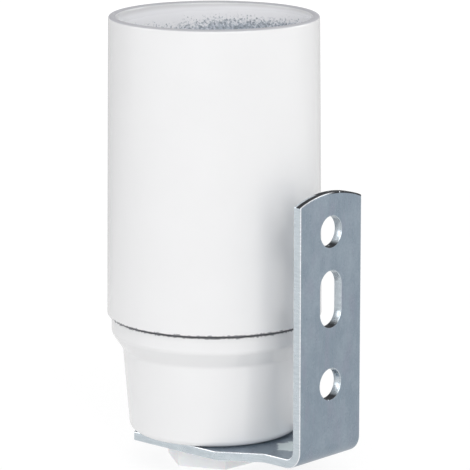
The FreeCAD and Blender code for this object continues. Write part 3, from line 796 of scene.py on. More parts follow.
@dataclass(frozen=True)
class GlossPaint(Finish):
    """White gloss paint sprayed on the outside of drawn steel, with speckled overspray on the inside, and
    painted light and shade at the mouth and the seam.
    """

    paint: Colour = (0.805, 0.805, 0.81)
    # Tone of the inner walls: overspray, set whiter than the paint as painted light against the shade
    # inside the mouth.
    dust_and_painted_light: Colour = (0.95, 0.95, 0.975)
    steel: Colour = (0.56, 0.62, 0.70)
    spray_start: float = 0.0
    spray_end: float = 4.6
    chipped_edge: float = 19.65
    # Seam band: ragged chips in the paint, widened with painted shade of the seam over the sleeve's lower
    # edge and the collar's top.
    chip_height: float = 0.21
    collar_line: float = 0.25
    chipped_shade: Colour = (0.25, 0.255, 0.27)
    rim: float = 58.8
    # Grey painted shade and dark reflection along the rim's crest and just inside the mouth.
    crest: Colour = (0.47, 0.47, 0.50)

    def mix(self) -> bpy.types.Material:
        """Build the paint, its speckled overspray, the chips at its lower edge, and its painted light and
        shade.

        Returns:
            The material.
        """
        recipe = Recipe("white_gloss_paint")
        recipe.set(IOR=1.5, Coat_Roughness=0.06)
        depth = recipe.node("ShaderNodeAttribute", attribute_name="spray_depth").outputs["Fac"]
        grain = recipe.noise(0.34, detail=3.0, roughness=0.7)
        cloud = recipe.noise(7.0, detail=2.0)
        reach = recipe.ramp(depth, self.spray_start, self.spray_end)
        drift = recipe.ramp(cloud, 0.3, 0.7, -0.05, 0.05)
        threshold = recipe.math("ADD", recipe.math("MULTIPLY", reach, 0.62), drift)
        bare = recipe.ramp(recipe.math("SUBTRACT", threshold, grain), -0.22, 0.05)
        level = recipe.height()
        # Painted shade and chips: a ragged dark band at the seam, partly chips in the paint and partly the
        # gap's shade painted on.
        rise = recipe.math("SUBTRACT", level, self.chipped_edge)
        ragged = recipe.ramp(recipe.noise(0.5, detail=4.0, roughness=0.65), 0.4, 0.7, 0.5, 1.35)
        lip = recipe.math("MULTIPLY", ragged, self.chip_height)
        above = recipe.ramp(recipe.math("SUBTRACT", rise, lip), -0.03, 0.03)
        line = self.collar_line
        below = recipe.ramp(recipe.math("ADD", rise, lip), 0.02 - line, 0.1 - line, 1.0, 0.0)
        whole = recipe.math("MAXIMUM", above, below)
        greyer = tuple(part * 0.985 for part in self.paint)
        tone = recipe.blend(recipe.ramp(recipe.noise(9.0), 0.3, 0.7), self.paint, greyer)
        dull = tuple(part * 0.5 for part in self.steel)
        metal = recipe.blend(recipe.ramp(grain, 0.3, 0.6), dull, self.steel)
        # Painted shade and dark reflection: the rim's crest and the band just inside it are tinted grey;
        # the crest also loses its coat and turns rougher.
        crest = recipe.ramp(level, self.rim - 0.3, self.rim - 0.12)
        fading = recipe.ramp(depth, 0.1, 0.9, 0.3, 0.0)
        throat_shade = recipe.math("MULTIPLY", recipe.ramp(depth, 0.0, 0.1), fading)
        # Painted light: the inner walls take the whiter overspray tone, which offsets the shade inside the
        # mouth.
        dust_and_painted_light = recipe.blend(recipe.ramp(depth, 0.3, 0.9), tone, self.dust_and_painted_light)
        dust_and_painted_light = recipe.blend(recipe.math("MAXIMUM", crest, throat_shade), dust_and_painted_light, self.crest)
        coated = recipe.blend(bare, dust_and_painted_light, metal)
        # The seam band takes the dark colour of the chips and the painted seam shade.
        recipe.feed("Base Color", recipe.blend(whole, self.chipped_shade, coated))
        recipe.feed("Metallic", recipe.math("MULTIPLY", bare, 0.35))
        recipe.feed("Coat Weight", recipe.blend_value(crest, 0.25, 0.0))
        smooth = recipe.blend_value(recipe.ramp(depth, 0.4, 2.5), 0.15, 0.5)
        smooth = recipe.blend_value(crest, smooth, 0.75)
        patches = recipe.ramp(recipe.noise(2.5), 0.3, 0.7, 0.0, 0.03)
        recipe.feed("Roughness", recipe.math("ADD", smooth, patches))
        dusty = recipe.math("MULTIPLY", recipe.ramp(depth, 0.8, 3.5), grain)
        recipe.bump((recipe.noise(1.6, detail=1.0), 0.0035), (dusty, 0.05), (whole, 0.03))
        return recipe.material


@dataclass(frozen=True)
class ZincPlate(Finish):
    """Bright zinc plate on rolled steel sheet, faintly mottled and streaked."""

    light: Colour = (0.33, 0.392, 0.452)
    dark: Colour = (0.272, 0.333, 0.395)
    lilac: Colour = (0.308, 0.335, 0.41)
    # Sheared edges: bare cut steel, set lighter as a painted reflection of the bright front, with a
    # near-white painted highlight along the rolled-over lip.
    sheared: Colour = (0.62, 0.68, 0.72)
    burr_highlight: Colour = (0.97, 0.98, 1.0)
    # Near-black painted dark: a dark reflection along the leg's end and shade at the holes' bottoms.
    painted_dark: Colour = (0.02, 0.022, 0.026)
    # Painted pool of light on the foot, where light falls through the leg's lower hole.
    hole_light: Colour = (0.76, 0.83, 0.84)
    hole_light_centre: Spot = (14.6, -0.5, 4.3)
    hole_light_radius: float = 2.4
    end_centre: Spot = (19.9, 0.0, 22.228)
    end_arc: float = 16.0
    end_start: float = 34.0
    wall_side: float = 19.05

    def hole_light_pool(self, recipe: Recipe, cloud: bpy.types.NodeSocket) -> bpy.types.NodeSocket:
        """Mark the painted pool of light that falls through the leg's lower hole onto the foot.

        Args:
            recipe: the plate's recipe.
            cloud: noise that breaks up the patch's edge.

        Returns:
            The socket of the mark.
        """
        wander = recipe.ramp(cloud, 0.3, 0.7, -0.9, 0.9)
        ragged = recipe.math("ADD", recipe.distance(self.hole_light_centre), wander)
        patch = recipe.ramp(ragged, self.hole_light_radius - 0.3, self.hole_light_radius + 0.2, 1.0, 0.0)
        return recipe.math("MULTIPLY", patch, recipe.ramp(recipe.height(), 3.7, 4.0))

    def painted_dark_mask(self, recipe: Recipe) -> bpy.types.NodeSocket:
        """Mark where dark is painted on the sheared edges: a dark reflection along the leg's end and shade
        at the holes' bottoms, in patches.

        Args:
            recipe: the plate's recipe.

        Returns:
            The socket of the mark.
        """
        painted_dark_mark = recipe.node("ShaderNodeAttribute", attribute_name="painted_dark").outputs["Fac"]
        outer = recipe.ramp(recipe.height("X"), self.wall_side, self.wall_side + 0.15)
        beyond = recipe.ramp(recipe.height("Y"), -2.6, -1.8)
        chipped_shade = recipe.ramp(recipe.noise(0.6, detail=3.0), 0.28, 0.35)
        part = recipe.math("MULTIPLY", painted_dark_mark, recipe.math("MAXIMUM", outer, beyond))
        end = recipe.ramp(recipe.distance(self.end_centre), self.end_arc - 0.25, self.end_arc - 0.18)
        upper = recipe.ramp(recipe.height(), self.end_start, self.end_start + 1.0)
        aside = recipe.ramp(recipe.height("Y"), -1.5, 1.0)
        end = recipe.math("MULTIPLY", end, upper)
        end = recipe.math("MULTIPLY", end, recipe.math("MULTIPLY", outer, aside))
        return recipe.math("MULTIPLY", recipe.math("MAXIMUM", part, end), chipped_shade)

    def mix(self) -> bpy.types.Material:
        """Build the plate's mottling and rolling streaks, its lighter sheared edges, and the light and
        shade painted on it.

        Returns:
            The material.
        """
        recipe = Recipe("zinc_plate")
        cloud = recipe.noise(2.6, detail=5.0, stretch=(1, 1, 1.6), roughness=0.62)
        streak = recipe.noise(0.16, detail=2.0, stretch=(1, 1, 26))
        grain = recipe.noise(0.12, detail=2.0)
        tone = recipe.blend(recipe.ramp(cloud, 0.32, 0.68), self.dark, self.light)
        bloom = recipe.ramp(recipe.noise(1.4, detail=2.0, stretch=(1, 1, 3)), 0.45, 0.75, 0.0, 0.6)
        speck = recipe.ramp(recipe.noise(0.22, detail=2.0, roughness=0.6), 0.3, 0.7, 0.0, 0.35)
        speckle = tuple(part * 0.8 for part in self.dark)
        face = recipe.blend(speck, recipe.blend(bloom, tone, self.lilac), speckle)
        # Painted light: a bright pool on the foot under the leg's lower hole, also made rougher.
        hole_light_pool = self.hole_light_pool(recipe, cloud)
        face = recipe.blend(hole_light_pool, face, self.hole_light)
        edge = recipe.node("ShaderNodeAttribute", attribute_name="sheared").outputs["Fac"]
        drag = recipe.ramp(recipe.noise(0.3, detail=3.0, stretch=(5, 5, 1)), 0.3, 0.7, 0.78, 1.0)
        # Painted reflection and highlight: sheared edges lighter than the plate, the rolled-over lip near
        # white.
        cut = recipe.blend(recipe.ramp(edge, 1.1, 1.9), self.sheared, self.burr_highlight)
        share = recipe.math("MULTIPLY", recipe.math("MINIMUM", edge, 1.0), drag)
        # Painted dark reflection and shade on the sheared edges, near black and not metallic.
        painted_dark_share = self.painted_dark_mask(recipe)
        recipe.feed("Base Color", recipe.blend(painted_dark_share, recipe.blend(share, face, cut), self.painted_dark))
        recipe.feed("Metallic", recipe.math("SUBTRACT", 1.0, painted_dark_share))
        worn = recipe.blend_value(edge, recipe.ramp(streak, 0.3, 0.7, 0.27, 0.36), 0.26)
        worn = recipe.math("MAXIMUM", worn, recipe.math("MULTIPLY", hole_light_pool, 0.6))
        worn = recipe.math("MAXIMUM", worn, recipe.math("MULTIPLY", painted_dark_share, 0.95))
        recipe.feed("Roughness", recipe.math("ADD", worn, recipe.ramp(cloud, 0.3, 0.7, -0.03, 0.03)))
        recipe.bump((streak, 0.0016), (grain, 0.0022), (cloud, 0.004))
        return recipe.material


@dataclass(frozen=True)
class MouldedPlastic(Finish):
    """Moulded plastic with a faint grain and flow clouds."""

    name: str
    colour: Colour
    roughness: float
    scatter: float = 0.0

    def mix(self) -> bpy.types.Material:
        """Build the plastic's colour, its matt patches and its grain.

        Returns:
            The material.
        """
        recipe = Recipe(self.name)
        recipe.set(IOR=1.5, Subsurface_Weight=self.scatter, Subsurface_Scale=0.002)
        cloud = recipe.noise(4.0, detail=2.0)
        greyer = tuple(part * 0.955 for part in self.colour)
        recipe.feed("Base Color", recipe.blend(recipe.ramp(cloud, 0.3, 0.7), self.colour, greyer))
        low, high = self.roughness - 0.05, self.roughness + 0.06
        recipe.feed("Roughness", recipe.ramp(recipe.noise(1.1), 0.3, 0.7, low, high))
        recipe.bump((recipe.noise(0.25, detail=3.0), 0.004), (cloud, 0.004))
        return recipe.material


@dataclass(frozen=True)
class Porcelain(Finish):
    """Glazed electrical porcelain, cream white, with tiny pits in the glaze."""

    glaze: Colour = (0.80, 0.785, 0.74)
    pit: Colour = (0.42, 0.37, 0.31)

    def mix(self) -> bpy.types.Material:
        """Build the glaze, its soft tone and its pits.

        Returns:
            The material.
        """
        recipe = Recipe("porcelain")
        recipe.set(IOR=1.52, Coat_Weight=0.4, Coat_Roughness=0.05)
        speck = recipe.ramp(recipe.noise(0.35, detail=2.0), 0.70, 0.76)
        tone = recipe.blend(recipe.noise(5.0), self.glaze, tuple(part * 0.95 for part in self.glaze))
        recipe.feed("Base Color", recipe.blend(speck, tone, self.pit))
        recipe.feed("Roughness", recipe.ramp(recipe.noise(1.5), 0.3, 0.7, 0.16, 0.26))
        recipe.bump((recipe.noise(1.2, detail=2.0), 0.010), (speck, -0.012))
        return recipe.material


@dataclass(frozen=True)
class BarMetal(Finish):
    """Solid metal with drawing marks, light tarnish and a soft grain."""

    name: str
    bright: Colour
    tarnish: Colour
    roughness: float = 0.26

    def mix(self) -> bpy.types.Material:
        """Build the metal's colour, its tarnish and its marks.

        Returns:
            The material.
        """
        recipe = Recipe(self.name)
        recipe.set(Metallic=1.0)
        cloud = recipe.noise(2.2, detail=4.0, roughness=0.6)
        marks = recipe.noise(0.07, detail=2.0, stretch=(18, 18, 1))
        recipe.feed("Base Color", recipe.blend(recipe.ramp(cloud, 0.42, 0.75), self.bright, self.tarnish))
        worn = recipe.ramp(cloud, 0.35, 0.75, self.roughness, self.roughness + 0.16)
        recipe.feed("Roughness", recipe.math("ADD", worn, recipe.ramp(marks, 0.3, 0.7, -0.03, 0.05)))
        recipe.bump((marks, 0.0012), (cloud, 0.002))
        return recipe.material


GLOSS_PAINT = GlossPaint()
ZINC_PLATE = ZincPlate()
WHITE_NYLON = MouldedPlastic("white_nylon", (0.955, 0.96, 0.97), 0.42, scatter=0.2)
WHITE_LINER = MouldedPlastic("white_liner", (0.72, 0.71, 0.67), 0.34)
PORCELAIN = Porcelain()
BRASS = BarMetal("brass", (0.80, 0.60, 0.30), (0.52, 0.36, 0.17))
SPRING_BRONZE = BarMetal("spring_bronze", (0.74, 0.50, 0.32), (0.50, 0.30, 0.18))
NICKEL_PLATE = BarMetal("nickel_plate", (0.62, 0.60, 0.56), (0.45, 0.43, 0.39), roughness=0.2)


# Pieces


@dataclass(frozen=True)
class Flex:
    """Heights in mm between which a spring bends towards the body that presses it."""

    follows: str
    low: float
    high: float


@dataclass
class SubAssembly:
    """Base of the sub-assemblies: it dresses a piece and seats it on its body."""

    body: str

    def seat(
        self, piece: Workpiece, slot: str, finish: Finish, body: str | None = None, flex: Flex | None = None
    ) -> None:
        """Finish a piece that stands for the CAD node of the same name.

        Args:
            piece: the piece, named for its node.
            slot: material slot of the record.
            finish: what it is dressed in.
            body: body that it rides on, where that isn't the sub-assembly's own.
            flex: where it springs between two bodies, which leaves it on no body with its place fixed in
                its mesh; its heights are not used.
        """
        piece.polish()
        piece.obj.data.materials.clear()
        piece.obj.data.materials.append(mixed(finish))
        if flex is None:
            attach(piece.obj, body or self.body)
        else:
            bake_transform(piece.obj)
        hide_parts(piece.name)
        LOG.info("%s rides on %s in %s", piece.obj.name, body or self.body, slot)


@dataclass
class Bracket(SubAssembly):
    """Steel strip, cut to shape and bent once into the foot and the leg."""

    sheet: float = 1.2
    foot: float = 3.1
    reach: float = 19.9
    width: float = 11.8
    leg_corner: float = 37.1
    end_arc: float = 16.0
    bend: float = 1.2
    pad_width: float = 18.6
    pad_tail: float = 5.8
    pad_shoulder: float = 8.5
    neck_start: float = 13.9
    eye: float = 5.1
    wall_hole: float = 2.0
    hole_levels: tuple[float, float] = (13.4, 33.2)
    slot_level: float = 24.488
    slot_travel: float = 1.663
    burr_depth: float = 0.1
    edge_rounding: float = 0.13

    def fold(self) -> Workpiece:
        """Draw the section of the bend and the leg, and extrude it to the leg's width.

        Returns:
            The bend and the leg as one solid.
        """
        outer, inside = self.bend + self.sheet, self.reach - self.sheet
        start, top = self.reach - self.bend - self.sheet, self.foot + self.sheet
        end = self.leg_corner + self.width / 2
        section = [
            Corner(start, self.foot),
            Sweep(start, self.foot + outer, 90, steps=18),
            Corner(self.reach, end),
            Corner(inside, end),
            Corner(inside, top + self.bend),
            Sweep(start, top + self.bend, -90, steps=18),
        ]
        leg = Workpiece.drawn("bracket", section, Plane.FRONT, -self.width / 2)
        return leg.extrude(Plane.FRONT, self.width)

    def cut_foot(self) -> Workpiece:
        """Cut the foot, a wide pad with an arc at its rear and a neck towards the bend.

        Returns:
            The foot as a solid.
        """
        half, neck, start = self.pad_width / 2, self.width / 2, self.reach - self.bend - self.sheet
        reach = math.degrees(math.asin(half / self.end_arc))
        centre = math.sqrt(self.end_arc**2 - half**2) - self.pad_tail
        outline = [
            Corner(-self.pad_tail, -half),
            Corner(self.pad_shoulder, -half, 1.5),
            Corner(self.neck_start, -neck, 1.0),
            Corner(start, -neck),
            Corner(start, neck),
            Corner(self.neck_start, neck, 1.0),
            Corner(self.pad_shoulder, half, 1.5),
            Corner(-self.pad_tail, half),
            Sweep(centre, 0.0, reach * 2, steps=24),
        ]
        return Workpiece.drawn("foot", outline, Plane.TOP, self.foot).extrude(Plane.TOP, self.sheet)

    def strip(self) -> Workpiece:
        """Join the foot to the bend, with no wall left between them.

        Returns:
            The whole strip.
        """
        strip, start = self.fold().take_in(self.cut_foot()), self.reach - self.bend - self.sheet
        strip.pick(Kind.FACE, lambda v: abs(v.x - start * MM) < 1e-6)
        bpy.ops.mesh.delete(type="ONLY_FACE")
        return strip.weld()

    def leg_end(self) -> Workpiece:
        """Draw the tool that shears the leg's end to an arc.

        Returns:
            The tool.
        """
        neck, far = self.width / 2, self.width
        reach = math.degrees(math.asin(neck / self.end_arc))
        centre = self.leg_corner - math.sqrt(self.end_arc**2 - neck**2)
        outline = [
            Corner(neck, self.leg_corner),
            Sweep(0.0, centre, reach * 2, steps=20),
            Corner(-far, self.leg_corner),
            Corner(-far, self.leg_corner + far),
            Corner(far, self.leg_corner + far),
            Corner(far, self.leg_corner),
        ]
        tool = Workpiece.drawn("leg_end", outline, Plane.SIDE, self.reach - self.sheet * 2)
        return tool.extrude(Plane.SIDE, self.sheet * 3)

    def punches(self) -> list[Workpiece]:
        """Make the punches for the two wall holes, the slot and the nipple's hole.

        Returns:
            The punches.
        """
        near, far = self.reach - self.sheet * 2, self.reach + self.sheet
        holes = [
            Workpiece.rod("wall_punch", self.wall_hole, (near, 0, level), (far, 0, level))
            for level in self.hole_levels
        ]
        high, low = self.slot_level + self.slot_travel, self.slot_level - self.slot_travel
        outline = [
            Corner(self.wall_hole, low),
            Corner(self.wall_hole, high),
            Sweep(0, high, 180),
            Corner(-self.wall_hole, low),
            Sweep(0, low, 180),
        ]
        slot = Workpiece.drawn("slot_punch", outline, Plane.SIDE, near).extrude(Plane.SIDE, far - near)
        eye = Workpiece.rod("eye_punch", self.eye, (0, 0, self.foot - 1), (0, 0, self.foot + 3), sides=96)
        return [*holes, slot, eye]

    def sheared(self, spot: Vector) -> float:
        """Say what part of the sheet a place lies on.

        Args:
            spot: the place in mm.

        Returns:
            0 on the rolled face, 1 on a sheared edge, 2 on the rolled-over lip where a highlight is
            painted.
        """
        foot_top, outer = self.foot + self.sheet, self.bend + self.sheet
        aside, above = spot.x - (self.reach - outer), spot.z - (self.foot + outer)
        if above > 0.0:
            depth = self.reach - spot.x
        elif aside > 0.0:
            depth = outer - math.hypot(aside, above)
        else:
            depth = foot_top - spot.z
        inside = min(depth, self.sheet - depth)
        if inside < 0.005:
            return 0.0
        reach = self.wall_hole + 0.2
        punched = abs(spot.y) < reach and spot.z < self.hole_levels[1] + reach
        return 2.0 if inside < self.burr_depth and not punched else 1.0

    def painted_dark(self, spot: Vector) -> float:
        """Say how far a place lies in the painted dark: the dark reflection along the leg's end and the
        shade at the holes' bottoms.

        Args:
            spot: the place in mm.

        Returns:
            A share, 1 where it is darkest.
        """
        if self.sheared(spot) == 0.0:
            return 0.0
        if spot.z > self.leg_corner - 0.1:
            return 1.0 if self.reach - spot.x > self.burr_depth or spot.y > 0.5 else 0.0
        bottoms = [level - self.wall_hole for level in self.hole_levels]
        bottoms.append(self.slot_level - self.slot_travel - self.wall_hole)
        above = min(abs(spot.z - bottom) for bottom in bottoms)
        return min(1.0, max(0.0, 1.7 - above / 0.4)) if abs(spot.y) < self.wall_hole else 0.0

    def build(self) -> None:
        """Fold, punch and dress the bracket."""
        strip = self.strip().shape_with(Join.CUT, self.leg_end(), *self.punches())
        strip.soften(self.edge_rounding, segments=3, angle=40)
        strip.mark("sheared", self.sheared)
        # Where the painted dark reflection and shade go on the sheared edges.
        strip.mark("painted_dark", self.painted_dark)
        self.seat(strip, "zinc_plate", ZINC_PLATE)


@dataclass
class Nipple(SubAssembly):
    """Hollow plastic bolt with a hexagon head, which clamps the foot to the cap."""

    head_height: float = 3.1
    across_flats: float = 11.2
    turned: float = 25.0
    top: float = 11.0
    bore: float = 3.5
    mouth: float = 0.5
    chamfer: float = 0.12
    thread_root: float = 4.45
    thread_crest: float = 5.0
    thread_inset: float = 0.35
    undercut: float = 0.1
    pitch: float = 1.0

    def head(self) -> Workpiece:
        """Chamfer and bore the hexagon.

        Returns:
            The head.
        """
        corner = self.across_flats / 2 / math.cos(math.pi / 6)
        head = Workpiece.rod("nipple", corner, (0, 0, 0), (0, 0, self.head_height), sides=6)
        first = max((v.co for v in head.obj.data.vertices), key=lambda spot: spot.x)
        head.place((0, 0, self.turned - math.degrees(math.atan2(first.y, first.x))), (0, 0, 0))
        head.pick(Kind.EDGE, lambda v: v.z < 1e-7)
        bpy.ops.mesh.bevel(offset=self.chamfer * MM, segments=3, affect="EDGES")
        head.soften(self.chamfer, segments=2, angle=45)
        drill = [
            Corner(0, -1),
            Corner(self.bore + self.mouth, -1),
            Corner(self.bore + self.mouth, 0),
            Sweep(self.bore + self.mouth, self.mouth, -90, steps=5),
            Corner(self.bore, self.head_height + 1),
            Corner(0, self.head_height + 1),
        ]
        return head.shape_with(Join.CUT, Workpiece.drawn("drill", drill, closed=False).turn())

    def shank(self) -> Workpiece:
        """Turn the tube above the head and wind its thread.

        Returns:
            The shank.
        """
        middle = (self.thread_root + self.thread_crest) / 2
        neck = self.thread_root - self.undercut
        foot, high = self.head_height + self.thread_inset, self.top - self.thread_inset
        section = [
            Corner(middle, foot),
            Corner(neck, foot - 0.2),
            Corner(neck, self.head_height),
            Corner(self.bore, self.head_height),
            Corner(self.bore, self.top),
            Corner(neck, self.top),
            Corner(middle, high),
        ]
        tube = Workpiece.drawn("shank", section, closed=False).turn()
        root, crest = self.thread_root, self.thread_crest
        thread = Thread(root, crest, self.pitch, foot + 0.1, high - 0.1, ThreadForm.CUT)
        return thread.fit(tube, foot, high)

    def build(self) -> None:
        """Make the head and the shank, and dress them as one piece."""
        self.seat(self.head().take_in(self.shank()), "white_nylon", WHITE_NYLON)


@dataclass
class HolderCap(SubAssembly):
    """Drawn cap with its rolled spigot, and the threaded hub with its earth lug."""

    foot: float = 4.3
    wall: float = 0.9
    base_radius: float = 11.13
    base_rounding: float = 1.0
    neck_radius: float = 12.0
    neck: float = 15.15
    shoulder: float = 17.3
    shoulder_rounding: float = 1.1
    collar_radius: float = 13.45
    collar_top: float = 19.45
    spigot_radius: float = 12.97
    spigot_top: float = 26.0
    roll_pitch: float = 1.5
    roll_depth: float = 0.3
    roll_inset: float = 0.15
    floor_hole: float = 5.85
    nipple_top: float = 11.0
    lug_start: float = 5.5
    lug_reach: float = 9.7
    lug_width: float = 4.4
    lug_height: float = 3.2
    earth_screw: float = 8.05
    tap_radius: float = 1.3
    hub_bore: float = 5.05
    hub_spigot: float = 5.8
    hub_flange: float = 7.4
    hub_sheet: float = 1.0
    hub_barrel: float = 6.0

    def outside(self, level: float) -> float:
        """Give the cap's outer radius at a level.

        Args:
            level: height in mm.

        Returns:
            The radius in mm.
        """
        marks = [
            (self.foot, self.base_radius),
            (self.neck, self.neck_radius),
            (self.shoulder, self.collar_radius),
            (self.collar_top + 0.01, self.collar_radius),
            (self.collar_top + 0.02, self.spigot_radius),
            (self.spigot_top, self.spigot_radius),
        ]
        for (low, start), (high, end) in zip(marks, marks[1:]):
            if level <= high:
                return start + (end - start) * max(0.0, level - low) / (high - low)
        return self.spigot_radius

    def spray_depth(self, spot: Vector) -> float:
        """Say how far inside the spray's reach a place on the cap lies.

        Args:
            spot: the place in mm.

        Returns:
            The depth in mm.
        """
        radius = math.hypot(spot.x, spot.y)
        if spot.z > self.collar_top + 0.02:
            return 1.5 + (spot.z - self.collar_top) * 1.2
        inner = radius < self.outside(spot.z) - self.wall * 0.6 and spot.z > self.foot + 0.3
        return 9.0 if inner else 0.0

    def draw_cap(self) -> Workpiece:
        """Turn the cap's sheet and roll the thread on its spigot.

        Returns:
            The cap.
        """
        neck_inside = self.neck_radius - self.wall
        spigot_inside = self.spigot_radius - self.wall
        middle = self.spigot_radius - self.roll_depth / 2
        low, high = self.collar_top + 0.5, self.spigot_top - 0.4
        inner_neck = self.neck + self.wall / 2
        slope = (self.shoulder - self.neck) / (self.collar_radius - self.neck_radius)
        inner_shoulder = inner_neck + (spigot_inside - neck_inside) * slope
        section = [
            Corner(middle, low),
            Corner(middle, self.collar_top),
            Corner(self.collar_radius, self.collar_top, 0.22),
            Corner(self.collar_radius, self.shoulder, self.shoulder_rounding),
            Corner(self.neck_radius, self.neck, self.shoulder_rounding),
            Corner(self.base_radius, self.foot, self.base_rounding),
            Corner(self.floor_hole, self.foot),
            Corner(self.floor_hole, self.foot + self.wall),
            Corner(self.base_radius - self.wall, self.foot + self.wall, 0.5),
            Corner(neck_inside, inner_neck, 0.6),
            Corner(spigot_inside, inner_shoulder, 0.8),
            Corner(spigot_inside, self.spigot_top),
            Corner(middle, self.spigot_top, 0.1),
            Corner(middle, high),
        ]
        cap = Workpiece.drawn("cap", section, closed=False).turn(FINE)
        root = self.spigot_radius - self.roll_depth
        first, last = low + self.roll_inset, high - self.roll_inset
        thread = Thread(root, self.spigot_radius, self.roll_pitch, first, last, steps=FINE)
        return thread.fit(cap, low, high).mark("spray_depth", self.spray_depth)

    def turn_hub(self) -> Workpiece:
        """Turn the threaded hub and add its earth lug.

        Returns:
            The hub.
        """
        floor = self.foot + self.wall
        section = [
            Corner(self.hub_bore, self.foot, 0.1),
            Corner(self.hub_spigot, self.foot),
            Corner(self.hub_spigot, floor),
            Corner(self.hub_flange, floor),
            Corner(self.hub_flange, floor + self.hub_sheet, 0.25),
            Corner(self.hub_barrel, floor + self.hub_sheet, 0.2),
            Corner(self.hub_barrel, self.nipple_top, 0.25),
            Corner(self.hub_bore, self.nipple_top, 0.25),
        ]
        hub = Workpiece.drawn("hub", section).turn()
        half, top = self.lug_width / 2, floor + self.lug_height
        lug = Workpiece.block("lug", (-half, self.lug_start, floor), (half, self.lug_reach, top))
        lug.pick(Kind.EDGE, lambda v: v.y > (self.lug_reach - 0.1) * MM)
        bpy.ops.mesh.bevel(offset=0.25 * MM, segments=3, affect="EDGES")
        low, high = (0, self.earth_screw, floor - 1), (0, self.earth_screw, top + 1)
        lug.shape_with(Join.CUT, Workpiece.rod("tap", self.tap_radius, low, high, sides=32))
        return hub.take_in(lug)

    def build(self) -> None:
        """Make and dress the cap and the hub."""
        self.seat(self.draw_cap(), "white_paint", GLOSS_PAINT)
        self.seat(self.turn_hub(), "zinc_plate", ZINC_PLATE)


@dataclass
class Sleeve(SubAssembly):
    """Drawn sleeve, slightly tapered, with the rolled thread inside its lower end."""

    base_radius: float = 14.0
    top_radius: float = 13.6
    bore: float = 12.6
    seam: float = 19.65
    ledge: float = 28.8
    rim: float = 58.8
    thread_crest: float = 13.05
    thread_low: float = 20.4
    thread_high: float = 26.0
    roll_pitch: float = 1.5
    roll_depth: float = 0.3
    roll_inset: float = 0.15
    rim_rounding: float = 0.4
    edge_rounding: float = 0.25

    def spray_depth(self, spot: Vector) -> float:
        """Say how far inside the spray's reach a place on the sleeve lies.

        Args:
            spot: the place in mm.

        Returns:
            The depth in mm.
        """
        radius = math.hypot(spot.x, spot.y)
        if radius > self.bore + 0.5 and spot.z > self.ledge or radius > self.top_radius:
            return 0.0
        if spot.z < self.ledge - 0.3:
            return (spot.z - self.seam) * 6.0
        return (self.rim - spot.z) * (1.0 + 0.3 * (spot.x * 0.74 + spot.y * 0.67) / radius)

    def draw_sleeve(self) -> Workpiece:
        """Turn the sleeve's wall and roll its thread.

        Returns:
            The sleeve.
        """
        middle = self.thread_crest + self.roll_depth / 2
        low, high = self.thread_low, self.thread_high
        section = [
            Corner(middle, low),
            Corner(middle, self.seam, 0.1),
            Corner(self.base_radius, self.seam, self.edge_rounding),
            Corner(self.top_radius, self.rim, self.rim_rounding),
            Corner(self.bore, self.rim, self.rim_rounding),
            Corner(self.bore, self.ledge, 0.15),
            Corner(middle, self.ledge, 0.1),
            Corner(middle, high),
        ]
        sleeve = Workpiece.drawn("sleeve", section, closed=False).turn(FINE)
        root = self.thread_crest + self.roll_depth
        first, last = low + self.roll_inset, high - self.roll_inset
        thread = Thread(root, self.thread_crest, self.roll_pitch, first, last, steps=FINE)
        return thread.fit(sleeve, low, high).mark("spray_depth", self.spray_depth)

    def build(self) -> None:
        """Make and dress the sleeve."""
        self.seat(self.draw_sleeve(), "white_paint", GLOSS_PAINT)


